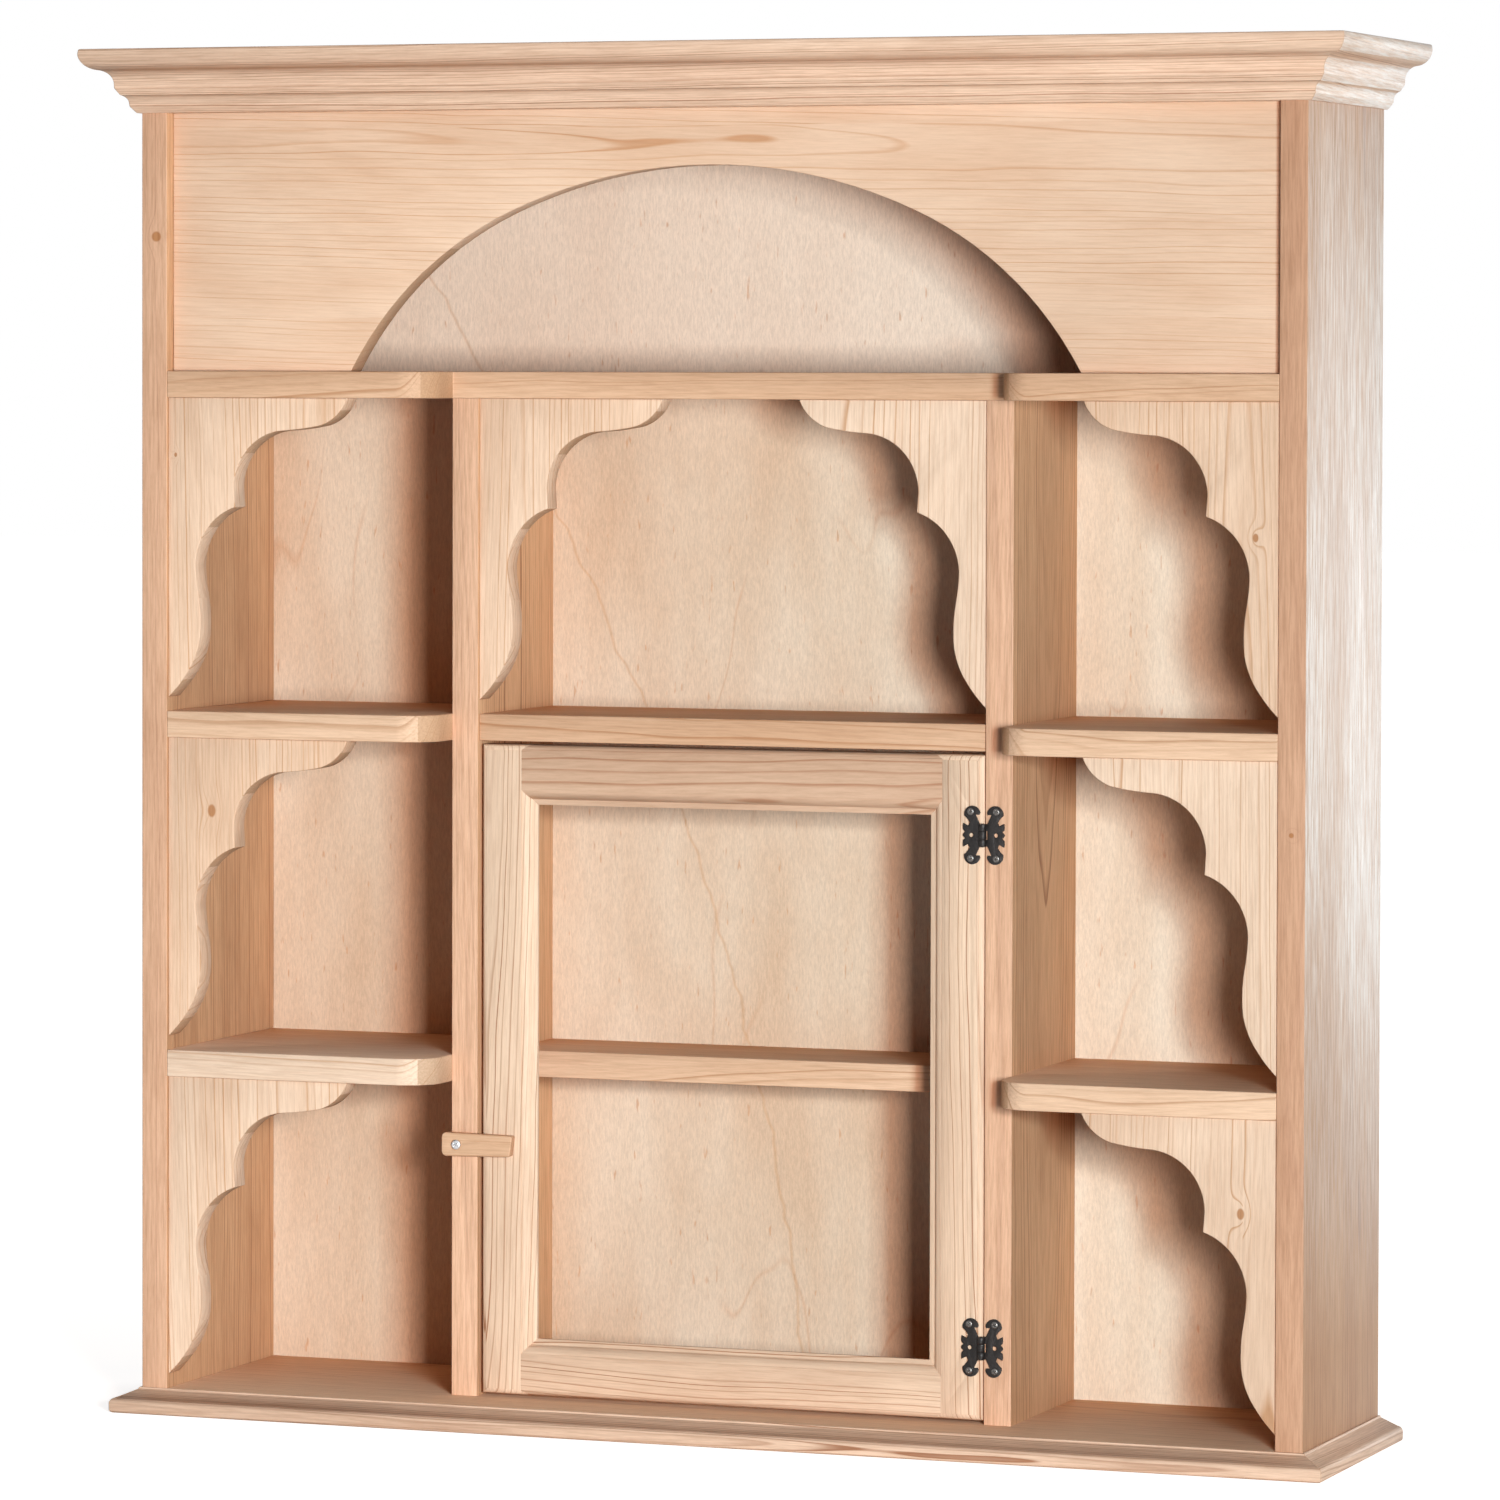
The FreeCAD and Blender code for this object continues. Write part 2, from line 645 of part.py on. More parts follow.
def door_stile(side):
    """Upright of the door: moulded inside, rounded outside and at both ends, and mortised."""
    body = new_body(f"door_stile_{SIDE_NAMES[side]}")
    section = inward(frame_section("stile_width"), side)
    pad(body, draw(body, FLOOR_PLANE, [section]), "door_height")
    foot = [
        ("0", "edge_quirk + edge_round"),
        ("edge_round", "edge_quirk", QUARTER),
        ("edge_round", "-overrun"),
        ("-overrun", "-overrun"),
        ("-overrun", "edge_quirk + edge_round"),
    ]
    ends = [swapped(foot), flipped(swapped(foot), "door_height")]
    pocket(body, draw(body, SIDE_PLANE, ends), "stile_width", forward=side == LEFT)
    mortises = [
        swapped(tenon_section("bottom_rail_width")),
        flipped(swapped(tenon_section("top_rail_width")), "door_height"),
    ]
    face = "-stile_back" if side == RIGHT else "stile_back"
    sketch = draw(body, SIDE_PLANE, mortises, lift=face)
    pocket(body, sketch, "tenon_length", forward=side == RIGHT)
    if side == RIGHT:
        hole = "hinge_shank + 2 * pin_gap"
        screws = [("-hinge_screw_out", level, hole) for level in hinge_screw_levels()]
        sketch = draw(body, FRONT_PLANE, circles=screws)
        pocket(body, sketch, "hinge_screw_length - leaf_thickness")
    place(body, f"door_{SIDE_NAMES[side]}", "divider_recess", "door_foot")
    parts.append(body)


def door_rail(label, width, level, at_head):
    """Rail of the door: coped over the stiles' moulding in front, tenoned into them behind."""
    body = new_body(label)

    def across(corners):
        upright = swapped(corners)
        return flipped(upright) if at_head else upright

    section = draw(body, SIDE_PLANE, [across(frame_section(width))], lift="stile_face")
    pad(body, section, "door_width - 2 * stile_face")
    cope = [("stile_face - overrun", "-overrun"), ("stile_face", "-overrun")]
    cope += sticking("stile_width")[1:]
    cope += [
        ("stile_back", "sticking_depth"),
        ("stile_back", "door_thickness + overrun"),
        ("stile_face - overrun", "door_thickness + overrun"),
    ]
    sketch = draw(body, FLOOR_PLANE, [cope, mirrored(cope, "door_width")])
    pocket(body, sketch, width, forward=not at_head)
    tenon_end = "stile_back - tenon_length"
    tenons = draw(body, SIDE_PLANE, [across(tenon_section(width))], lift=tenon_end)
    pad(body, tenons, f"door_width - 2 * ({tenon_end})")
    place(body, "door_left", "divider_recess", level)
    parts.append(body)


def hinge_screw_levels():
    """Heights of the four hinge screws over the door's foot."""
    middles = ("hinge_lift", "upper_hinge")
    return [f"{middle} {sign} hinge_screw_rise" for middle in middles for sign in "-+"]


def hinge_leaf(label, side, middle):
    """Butterfly leaf with its knuckles: one in the middle on the door, two on the frame."""
    body = new_body(label)
    on_frame = side == RIGHT

    def outward(corners):
        return corners if on_frame else mirrored(corners)

    upper = scaled(WING_SHARES, "leaf_width", "leaf_half_height") + [("leaf_edge", "barrel_half")]
    wing = retraced(flipped(upper)) + upper[1:]
    holes = [("spare_hole_out", "0", "spare_hole")]
    rises = ("-hinge_screw_rise", "hinge_screw_rise")
    holes += [("hinge_screw_out", rise, "hinge_shank + running_gap") for rise in rises]
    holes = [(outward([hole[:2]])[0] + hole[2:]) for hole in holes]
    pad(body, draw(body, FRONT_PLANE, [outward(wing)], holes), "leaf_thickness")
    if on_frame:
        near = "knuckle_half + running_gap"
        spans = [(near, "barrel_half"), ("-barrel_half", f"-({near})")]
    else:
        spans = [("-knuckle_half", "knuckle_half")]
    root = "running_gap" if on_frame else "0"
    tabs = [rectangle(root, low, "leaf_edge + leaf_thickness", high) for low, high in spans]
    pad(body, draw(body, FRONT_PLANE, [outward(tab) for tab in tabs]), "leaf_thickness")
    for low, high in spans:
        knuckle = [("0", "-axis_out", "2 * knuckle_radius")]
        pad(body, draw(body, FLOOR_PLANE, circles=knuckle, lift=low), f"({high}) - ({low})")
    bore = [("0", "-axis_out", "2 * (pin_radius + pin_gap)")]
    pocket(body, draw(body, FLOOR_PLANE, circles=bore, lift="barrel_half"), "barrel_length")
    place(body, "door_right", "divider_recess", f"door_foot + {middle}")
    parts.append(body)


def dome(rise, radius):
    """The bulge of an arc that rises to an axis and meets it squarely."""
    return f"tan(atan(({rise}) / ({radius})) / 2)"


def hinge_pin(label, middle):
    """Pin through the three knuckles, domed at both ends."""
    body = new_body(label)
    upper = [
        ("pin_radius", "barrel_half"),
        ("0", "barrel_half + pin_end", dome("pin_end", "pin_radius")),
    ]
    revolve(body, draw(body, FRONT_PLANE, [retraced(flipped(upper)) + upper]))
    place(body, "door_right", "divider_recess - axis_out", f"door_foot + {middle}")
    parts.append(body)


def screw(label, head, head_rise, shank, length, x, y, z):
    """Domed screw that points back, with the underside of its head at y."""
    body = new_body(label)
    rim = f"{head_rise} / 4"
    profile = [
        ("0", f"-{head_rise}"),
        (f"{head} / 2", f"-{rim}", dome(f"{head_rise} - {rim}", f"{head} / 2")),
        (f"{head} / 2", "0"),
        (f"{shank} / 2", "0"),
        (f"{shank} / 2", f"{length} - {shank}"),
        ("0", length),
    ]
    revolve(body, draw(body, FLOOR_PLANE, [profile]))
    place(body, x, y, z)
    return body


def hinge_screws(label, x):
    """The four screws that hold both hinges on the same side."""
    sizes = ("hinge_head", "hinge_head_rise", "hinge_shank", "hinge_screw_length")
    seat = "divider_recess - leaf_thickness"
    screws = [
        screw(f"{label}_{n}", *sizes, x, seat, f"door_foot + {level}")
        for n, level in enumerate(hinge_screw_levels(), start=1)
    ]
    group = document.addObject("Part::Compound", label)
    group.Label = label
    group.Links = screws
    parts.append(group)


def runs_back(edge):
    """Whether an edge is straight from front to back."""
    box = edge.BoundBox
    return box.YLength > box.XLength + box.ZLength


def on_side(edge, side):
    """Whether an edge is left or right of the body's own origin."""
    return edge.CenterOfMass.x * side > 0


def rounded(body, base, names, radius):
    """Round some edges of a body, or all the edges of a face."""
    fillet = body.newObject("PartDesign::Fillet", "Round")
    fillet.Base = (base, names)
    bind(fillet, "Radius", radius)
    document.recompute()
    return fillet


def latch():
    """Wooden turn button with its long end over the door, on one screw."""
    body = new_body("turn_latch")
    outline = [
        ("-latch_tail", "-latch_wide / 2"),
        ("latch_reach - latch_slant", "-latch_narrow / 2"),
        ("latch_reach", "latch_narrow / 2"),
        ("-latch_tail", "latch_wide / 2"),
    ]
    board = pad(body, draw(body, FRONT_PLANE, [outline]), "latch_thickness")
    document.recompute()
    for end, radius in ((LEFT, "latch_corner"), (RIGHT, "latch_tip_corner")):
        edges = board.Shape.Edges
        corners = [n for n, edge in enumerate(edges) if runs_back(edge) and on_side(edge, end)]
        board = rounded(body, board, [f"Edge{n + 1}" for n in corners[:2]], radius)
    faces = board.Shape.Faces
    front = min(range(len(faces)), key=lambda n: faces[n].CenterOfMass.y)
    rounded(body, board, [f"Face{front + 1}"], "latch_arris")
    hole = [("0", "0", "latch_shank + 2 * pin_gap")]
    pocket(body, draw(body, FRONT_PLANE, circles=hole, lift="latch_thickness"), "latch_thickness")
    place(body, "-niche_half - latch_inset", "divider_recess - running_gap", "latch_level")
    parts.append(body)
    sizes = ("latch_head", "latch_head_rise", "latch_shank", "latch_screw_length")
    seat = "divider_recess - 2 * running_gap - latch_thickness"
    parts.append(screw("latch_screw", *sizes, "-niche_half - latch_inset", seat, "latch_level"))


def carcass():
    """Boards, shelves and back."""
    for side in (LEFT, RIGHT):
        side_board(side)
        divider(side)
        for level in ("lower", "upper"):
            side_shelf(side, level)
    panel("bottom_board", "2 * inside_half", "shelf_back", "bottom_thickness")
    panel("top_board", "carcass_width", "side_depth", "top_thickness", z="side_height")
    back_width = "2 * (inside_half + back_rebate)"
    panel("back_panel", back_width, "back_thickness", "side_height", y="shelf_back")
    rail_height = "side_height - crown_level"
    panel("crown_rail", "2 * inside_half", "fascia_recess", rail_height, z="crown_level")
    top_shelf()
    niche_board("niche_shelf", "upper_top", "niche_shelf_recess")
    niche_board("inner_shelf", "lower_top", "inner_shelf_recess")
    arch_fascia()


def brackets():
    """Three brackets on each side board, and one on each divider in the niche."""
    levels = {"lower": "lower_top", "upper": "upper_top", "top": "arch_level"}
    for side, name in SIDE_NAMES.items():
        for level, top in levels.items():
            bracket(f"{level}_bracket_{name}", side, "inside_half", "0", top)
        bracket(f"niche_bracket_{name}", side, "niche_half", "divider_recess", "arch_level")


def door():
    """Framed door on two butterfly hinges, with the latch that holds it shut."""
    for side in (LEFT, RIGHT):
        door_stile(side)
    door_rail("door_rail_top", "top_rail_width", "door_head", at_head=True)
    door_rail("door_rail_bottom", "bottom_rail_width", "door_foot", at_head=False)
    for name, middle in (("upper", "upper_hinge"), ("lower", "hinge_lift")):
        hinge_leaf(f"{name}_hinge_door_leaf", LEFT, middle)
        hinge_leaf(f"{name}_hinge_frame_leaf", RIGHT, middle)
        hinge_pin(f"{name}_hinge_pin", middle)
    hinge_screws("hinge_screws_door", "door_right - hinge_screw_out")
    hinge_screws("hinge_screws_frame", "door_right + hinge_screw_out")
    latch()


def check_document():
    """Stop where a feature failed, a cut removed nothing or a piece isn't a sound solid."""
    for item in document.Objects:
        if {"Invalid", "Error"} & set(item.State):
            raise RuntimeError(f"{item.Label} failed: {item.State}")
        if item.TypeId == "PartDesign::Pocket":
            if item.Shape.Volume >= item.BaseFeature.Shape.Volume:
                raise RuntimeError(f"a cut of {item.getParentGeoFeatureGroup().Label} removed nothing")
    for part in parts:
        if part.Shape.isNull() or not part.Shape.isValid():
            raise RuntimeError(f"{part.Label} is not a sound solid")
        wanted = len(part.Links) if part.TypeId == "Part::Compound" else 1
        if len(part.Shape.Solids) != wanted:
            raise RuntimeError(f"{part.Label} has {len(part.Shape.Solids)} solids, not {wanted}")


def export():
    os.makedirs("parts", exist_ok=True)
    for part in parts:
        part.Shape.exportStep(f"parts/{part.Label}.step")
    print(f"{len(parts)} sub-parts, {sum(len(part.Shape.Solids) for part in parts)} solids")


fill_sheet()
carcass()
brackets()
moulding_round("crown", CROWN_SHARES, "crown_depth", "crown_height", "crown_level")
moulding_round("base", BASE_SHARES, "base_depth", "bottom_thickness", "0")
door()
document.recompute()
check_document()
export()
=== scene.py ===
# %% [markdown]
# # A pine bar cabinet
#
# The cabinet is unfinished, sanded pine with a birch plywood back. Its solids come packed from
# the CAD model. Here each board gets sanded edges and wood that grew somewhere in a log, the iron
# and zinc get their finish, and a studio is built around the lot.

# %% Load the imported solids
import math
import random
import bmesh
import bpy
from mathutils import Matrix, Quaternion, Vector


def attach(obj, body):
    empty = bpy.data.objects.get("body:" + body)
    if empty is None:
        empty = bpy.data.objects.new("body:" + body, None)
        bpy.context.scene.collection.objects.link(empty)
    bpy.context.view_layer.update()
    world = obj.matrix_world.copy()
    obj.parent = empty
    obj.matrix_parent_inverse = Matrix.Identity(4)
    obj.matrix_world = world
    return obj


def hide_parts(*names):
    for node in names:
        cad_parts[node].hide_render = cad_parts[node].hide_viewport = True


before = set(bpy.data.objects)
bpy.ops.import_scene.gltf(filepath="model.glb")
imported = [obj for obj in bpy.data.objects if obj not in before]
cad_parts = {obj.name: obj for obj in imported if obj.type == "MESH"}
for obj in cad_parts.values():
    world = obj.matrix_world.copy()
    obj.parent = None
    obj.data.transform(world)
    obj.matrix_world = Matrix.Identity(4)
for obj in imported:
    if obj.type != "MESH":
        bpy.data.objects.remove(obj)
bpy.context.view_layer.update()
MM = 0.001

# %% [markdown]
# ## The camera
#
# A long lens far away keeps the uprights nearly parallel, as product photographs do. The camera
# stands to the right of the cabinet, above its middle, and looks down a little. The frame is
# shifted down for the rest of the way, because tilting further would make the uprights converge.

# %% Camera
CAMERA_PLACE = Vector((2.2653, -6.0299, 0.9539))
CAMERA_AIM = Vector((0.0410, -0.0985, 0.7750))
CAMERA_ROLL = math.radians(0.129)
LENS_MM = 172.6
SENSOR_MM = 36
SHIFT_DOWN = -0.12
FARTHEST_SEEN = 60

camera_data = bpy.data.cameras.new("camera")
camera_data.lens = LENS_MM
camera_data.sensor_width = SENSOR_MM
camera_data.shift_y = SHIFT_DOWN
camera_data.clip_end = FARTHEST_SEEN
camera = bpy.data.objects.new("camera", camera_data)
camera.location = CAMERA_PLACE
camera.rotation_mode = "QUATERNION"
level = (CAMERA_AIM - CAMERA_PLACE).to_track_quat("-Z", "Y")
camera.rotation_quaternion = level @ Quaternion((0, 0, 1), CAMERA_ROLL)
bpy.context.scene.collection.objects.link(camera)
bpy.context.scene.camera = camera
print("camera at", tuple(round(c, 3) for c in camera.location))

# %% [markdown]
# ## Small helpers
#
# Colours are written as they look on a screen and turned to linear light here. Pattern sizes are
# written in millimetres and turned to repeats per metre. One function adds any node: its settings
# are the node's own, its inputs are plain values or the nodes that feed them.

# %% Helpers for colours and nodes
def linear(screen):
    """A hex colour as it looks on a screen, as linear light."""
    parts = [int(screen[place:place + 2], 16) / 255 for place in (1, 3, 5)]
    light = [c / 12.92 if c <= 0.04045 else ((c + 0.055) / 1.055) ** 2.4 for c in parts]
    return (*light, 1)


def per_metre(size_mm):
    """How often a detail of this size repeats in a metre."""
    return 1000 / size_mm


def add(tree, kind, inputs=None, **settings):
    """Add a node with its settings, and give its open sockets values or what feeds them."""
    node = tree.nodes.new(kind)
    for name, setting in settings.items():
        setattr(node, name, setting)
    for key, value in (inputs or {}).items():
        sockets = [socket for socket in node.inputs if socket.enabled]
        named = [socket for socket in sockets if socket.name == key]
        socket = sockets[key] if isinstance(key, int) else named[0]
        if isinstance(value, bpy.types.Node):
            value = [output for output in value.outputs if output.enabled][0]
        if isinstance(value, bpy.types.NodeSocket):
            tree.links.new(value, socket)
        else:
            socket.default_value = value
    return node


def new_material(name):
    """An empty material and its node tree."""
    material = bpy.data.materials.new(name)
    material.use_nodes = True
    material.node_tree.nodes.clear()
    return material, material.node_tree


def show(tree, shader):
    """Feed the shader to the material's output."""
    add(tree, "ShaderNodeOutputMaterial", {"Surface": shader})


# %% [markdown]
# ## Light from wood to wood
#
# Deep in the bays most light has come off another board first. The shade there is painted: light
# that has been thrown back takes a darker, redder colour than the board has, so the deep shadows
# come out darker and redder. A lamp could be tinted for that, but it would tint the lit faces too.
# So each wood keeps its own colour for light straight from a lamp, and has a painted darker, redder
# one for light that has been thrown back.

# %% Painted shade: a darker, redder colour for light thrown back
# How much painted shade darkens and reddens thrown-back light, in red, green and blue.
SHADE_REDDENING = (0.84, 0.60, 0.38)


def with_painted_shade(tree, colour):
    """The colour for direct light, and a darker, redder one for light that other wood has thrown
    back: painted shade.
    """
    path = add(tree, "ShaderNodeLightPath")
    second = add(tree, "ShaderNodeMath", {0: path.outputs["Diffuse Depth"], 1: 1.0},
                 operation="MINIMUM")
    painted_shade_colour = add(tree, "ShaderNodeVectorMath", {0: colour, 1: SHADE_REDDENING}, operation="MULTIPLY")
    return add(tree, "ShaderNodeMix", {"Factor": second, "A": colour, "B": painted_shade_colour},
               data_type="RGBA")


# %% [markdown]
# ## Pine
#
# Pine shows its growth rings: pale wood from spring, a thin darker line from late summer. The
# rings run round the heart of the log, and a board is a slice out of it. A pattern painted on the
# faces would not meet at the edges. So every point of a board knows where in the log it grew, and
# the material works out its ring there. Arches on the face, lines on the edge and arcs on the end
# all follow. Glued-up boards are several lanes, each from another part of the log.
#
# Everything in a log is drawn out along it. A value named ALONG is the share of a pattern's pace
# across the log that it keeps along it.

# %% Where in the log, and how far from its heart
HALF = (0.5, 0.5, 0.5)
# The most that lanes lie apart in the log, in metres: along it, across it and from the heart.
LANE_SHIFT = (3.0, 0.10, 0.03)
WANDER_MM, WANDER_ALONG = 70, 0.22
# A knot pushes the rings out most at its centre, and less with the square of the distance.
KNOT_PUSH = 7 * MM
KNOT_FALL = -0.13


def place_in_log(tree):
    """Where a point grew. Each lane of a glued-up board grew somewhere else."""
    log = add(tree, "ShaderNodeAttribute", attribute_name="log")
    lane = add(tree, "ShaderNodeAttribute", attribute_name="lane")
    number = add(tree, "ShaderNodeMath", {0: lane.outputs["Fac"]}, operation="FLOOR")
    chosen = add(tree, "ShaderNodeTexWhiteNoise", {"W": number}, noise_dimensions="1D")
    centred = add(tree, "ShaderNodeVectorMath", {0: chosen.outputs["Color"], 1: HALF},
                  operation="SUBTRACT")
    moved = add(tree, "ShaderNodeVectorMath", {0: centred, 1: LANE_SHIFT}, operation="MULTIPLY")
    return add(tree, "ShaderNodeVectorMath", {0: log.outputs["Vector"], 1: moved},
               operation="ADD")


def drawn_out(tree, place, along):
    """The place to read a pattern at, so that it is drawn out along the log."""
    return add(tree, "ShaderNodeVectorMath", {0: place, 1: (along, 1, 1)}, operation="MULTIPLY")


def from_heart(tree, place, knot_far, drift_mm):
    """How far from the heart a point grew. Rings wander slowly, and a knot pushes them aside."""
    slow = drawn_out(tree, place, WANDER_ALONG)
    wander = add(tree, "ShaderNodeTexNoise",
                 {"Vector": slow, "Scale": per_metre(WANDER_MM), "Detail": 2.0})
    centred = add(tree, "ShaderNodeVectorMath", {0: wander.outputs["Color"], 1: HALF},
                  operation="SUBTRACT")
    sized = add(tree, "ShaderNodeVectorMath", {0: centred, "Scale": drift_mm * MM * 2},
                operation="SCALE")
    bent = add(tree, "ShaderNodeVectorMath", {0: place, 1: sized}, operation="ADD")
    flat = add(tree, "ShaderNodeVectorMath", {0: bent, 1: (0, 1, 1)}, operation="MULTIPLY")
    radius = add(tree, "ShaderNodeVectorMath", {0: flat}, operation="LENGTH").outputs["Value"]
    square = add(tree, "ShaderNodeMath", {0: knot_far, 1: knot_far}, operation="MULTIPLY")
    fall = add(tree, "ShaderNodeMath", {0: square, 1: KNOT_FALL}, operation="MULTIPLY")
    swell = add(tree, "ShaderNodeMath", {0: fall}, operation="EXPONENT")
    return add(tree, "ShaderNodeMath", {0: swell, 1: KNOT_PUSH, 2: radius},
               operation="MULTIPLY_ADD")


# %% [markdown]
# ### The dark lines
#
# Late wood darkens through the summer and stops dead when winter comes: a soft rise, then a sharp
# fall. Good and bad years make wide and narrow rings, and dark and faint lines.

# %% Lines of late wood
RING_STOP = 0.93
# Ring widths change slowly: how fast from ring to ring, and how many rings that pulls them.
YEARS_PACE, YEARS_PULL = 0.23, 2.4


def late_lines(tree, radius, ring_mm, late_from):
    """How much late wood a point has: it rises through a ring and stops where the next begins."""
    rings = add(tree, "ShaderNodeMath", {0: radius, 1: per_metre(ring_mm)}, operation="MULTIPLY")
    widths = add(tree, "ShaderNodeTexNoise", {"W": rings, "Scale": YEARS_PACE, "Detail": 1.0},
                 noise_dimensions="1D")
    uneven = add(tree, "ShaderNodeMath", {0: widths.outputs[0], 1: YEARS_PULL, 2: rings},
                 operation="MULTIPLY_ADD")
    number = add(tree, "ShaderNodeMath", {0: uneven}, operation="FLOOR")
    in_ring = add(tree, "ShaderNodeMath", {0: uneven}, operation="FRACT")
    rise = add(tree, "ShaderNodeMapRange",
               {"Value": in_ring, "From Min": late_from, "From Max": RING_STOP},
               interpolation_type="SMOOTHSTEP")
    fall = add(tree, "ShaderNodeMapRange",
               {"Value": in_ring, "From Min": RING_STOP, "From Max": 1.0, "To Min": 1.0,
                "To Max": 0.0})
    year = add(tree, "ShaderNodeTexWhiteNoise", {"W": number}, noise_dimensions="1D")
    strength = add(tree, "ShaderNodeMapRange",
                   {"Value": year.outputs["Value"], "From Min": 0.3, "To Min": 0.15})
    line = add(tree, "ShaderNodeMath", {0: rise, 1: fall}, operation="MULTIPLY")
    return add(tree, "ShaderNodeMath", {0: line, 1: strength}, operation="MULTIPLY")


# %% [markdown]
# ### Painted sheen
#
# Some faces get a painted sheen: a near-white colour that stands for the whitish gloss of light
# grazing them, in blotches and in streaks along the open grain, most at the middle of their
# height. How much a board has of it is an attribute of its own.

# %% Painted sheen
BLOTCH_MM, BLOTCH_ALONG = 120, 0.25
OPEN_GRAIN_MM, OPEN_GRAIN_ALONG = 3, 0.055
# In metres: the height of the most painted sheen, and the distances from it where that ebbs away.
MOST_SHEEN = 0.72
FULL_WITHIN, GONE_BEYOND = 0.2, 0.62


def bleaching(tree, place, cut):
    """How much painted sheen, the gloss of grazing light, a point of a face gets. Edges and ends
    keep their colour.
    """
    bleach = add(tree, "ShaderNodeAttribute", attribute_name="bleach")
    wide = drawn_out(tree, place, BLOTCH_ALONG)
    blotches = add(tree, "ShaderNodeTexNoise",
                   {"Vector": wide, "Scale": per_metre(BLOTCH_MM), "Detail": 2.0})
    blotchy = add(tree, "ShaderNodeMapRange",
                  {"Value": blotches.outputs[0], "From Min": 0.35, "From Max": 0.65,
                   "To Min": 0.5, "To Max": 1.1})
    short = drawn_out(tree, place, OPEN_GRAIN_ALONG)
    sheen_streaks = add(tree, "ShaderNodeTexNoise",
                    {"Vector": short, "Scale": per_metre(OPEN_GRAIN_MM), "Detail": 4.0,
                     "Roughness": 0.72})
    in_grain = add(tree, "ShaderNodeMapRange",
                   {"Value": sheen_streaks.outputs[0], "From Min": 0.38, "From Max": 0.62,
                    "To Min": 0.3, "To Max": 1.3})
    here = add(tree, "ShaderNodeMath", {0: blotchy, 1: in_grain}, operation="MULTIPLY")
    stands = add(tree, "ShaderNodeSeparateXYZ",
                 {"Vector": add(tree, "ShaderNodeTexCoord").outputs["Object"]})
    off_middle = add(tree, "ShaderNodeMath", {0: stands.outputs["Z"], 1: MOST_SHEEN},
                     operation="SUBTRACT")
    from_middle = add(tree, "ShaderNodeMath", {0: off_middle}, operation="ABSOLUTE")
    by_height = add(tree, "ShaderNodeMapRange",
                    {"Value": from_middle, "From Min": FULL_WITHIN, "From Max": GONE_BEYOND,
                     "To Min": 1.0, "To Max": 0.0})
    there = add(tree, "ShaderNodeMath", {0: here, 1: by_height}, operation="MULTIPLY")
    share = add(tree, "ShaderNodeMath", {0: there, 1: bleach.outputs["Fac"]},
                operation="MULTIPLY", use_clamp=True)
    on_face = add(tree, "ShaderNodeMapRange", {"Value": cut, "From Min": 0.5, "From Max": 0.0})
    return add(tree, "ShaderNodeMath", {0: share, 1: on_face}, operation="MULTIPLY")


# %% [markdown]
# ### Tone and fibres
#
# No two boards have the same tone, and one board's tone drifts over a hand's width. Fine fibres
# run along the log, darker where the grain is open, which gives the faint long streaks.

# %% Tone and fibres
PATCH_MM, PATCH_ALONG = 45, 0.25
FIBRE_MM, FIBRE_ALONG = 1.9, 0.045
STREAK_DARK = (1, 1.25, 1.5)
STREAK_PALE = (0.4, 0.45, 0.5)


def toned(tree, wood, place, late):
    """The board's own tone, drifting toward the colour of late wood and back."""
    tone = add(tree, "ShaderNodeAttribute", attribute_name="tone")
    wide = drawn_out(tree, place, PATCH_ALONG)
    patches = add(tree, "ShaderNodeTexNoise",
                  {"Vector": wide, "Scale": per_metre(PATCH_MM), "Detail": 2.0})
    drift = add(tree, "ShaderNodeMapRange",
                {"Value": patches.outputs[0], "From Min": 0.3, "From Max": 0.7, "To Min": -0.06,
                 "To Max": 0.15})
    share = add(tree, "ShaderNodeMath", {0: tone.outputs["Fac"], 1: drift}, operation="ADD",
                use_clamp=True)
    return add(tree, "ShaderNodeMix", {"Factor": share, "A": wood, "B": linear(late)},
               data_type="RGBA")


def fibres(tree, place):
    """Fine streaks along the log, from 0 in the open grain to 1."""
    thin = drawn_out(tree, place, FIBRE_ALONG)
    return add(tree, "ShaderNodeTexNoise",
               {"Vector": thin, "Scale": per_metre(FIBRE_MM), "Detail": 4.0,
                "Roughness": 0.75}).outputs[0]


def streaked(tree, wood, fibre, share):
    """The wood a little darker and redder in the open grain, and a little paler between."""
    open_grain = add(tree, "ShaderNodeMapRange",
                     {"Value": fibre, "From Min": 0.34, "From Max": 0.6})
    streak = add(tree, "ShaderNodeMix",
                 {"Factor": open_grain, "A": (*[1 - part * share for part in STREAK_DARK], 1),
                  "B": (*[1 + part * share for part in STREAK_PALE], 1)}, data_type="RGBA")
    return add(tree, "ShaderNodeVectorMath", {0: wood, 1: streak}, operation="MULTIPLY")


# %% [markdown]
# ### The finished board
#
# The colours go on in the order in which the wood got them, with the painted sheen after the tone:
# rings, sawn edges, tone, painted sheen, end grain, knots, streaks. The boards are sanded and bare.
# To the eye that is a dull surface: rough, with little gloss, a bit smoother on the hard late wood,
# and a relief that only grazing light finds.

# %% Pine material
# The near-white colour of the painted sheen.
SHEEN_WHITE = "#f6efe8"
KNOT_BROWN = "#a9713f"
WOOD_IOR = 1.5
WOOD_GLOSS = 0.25
RELIEF = 0.3 * MM


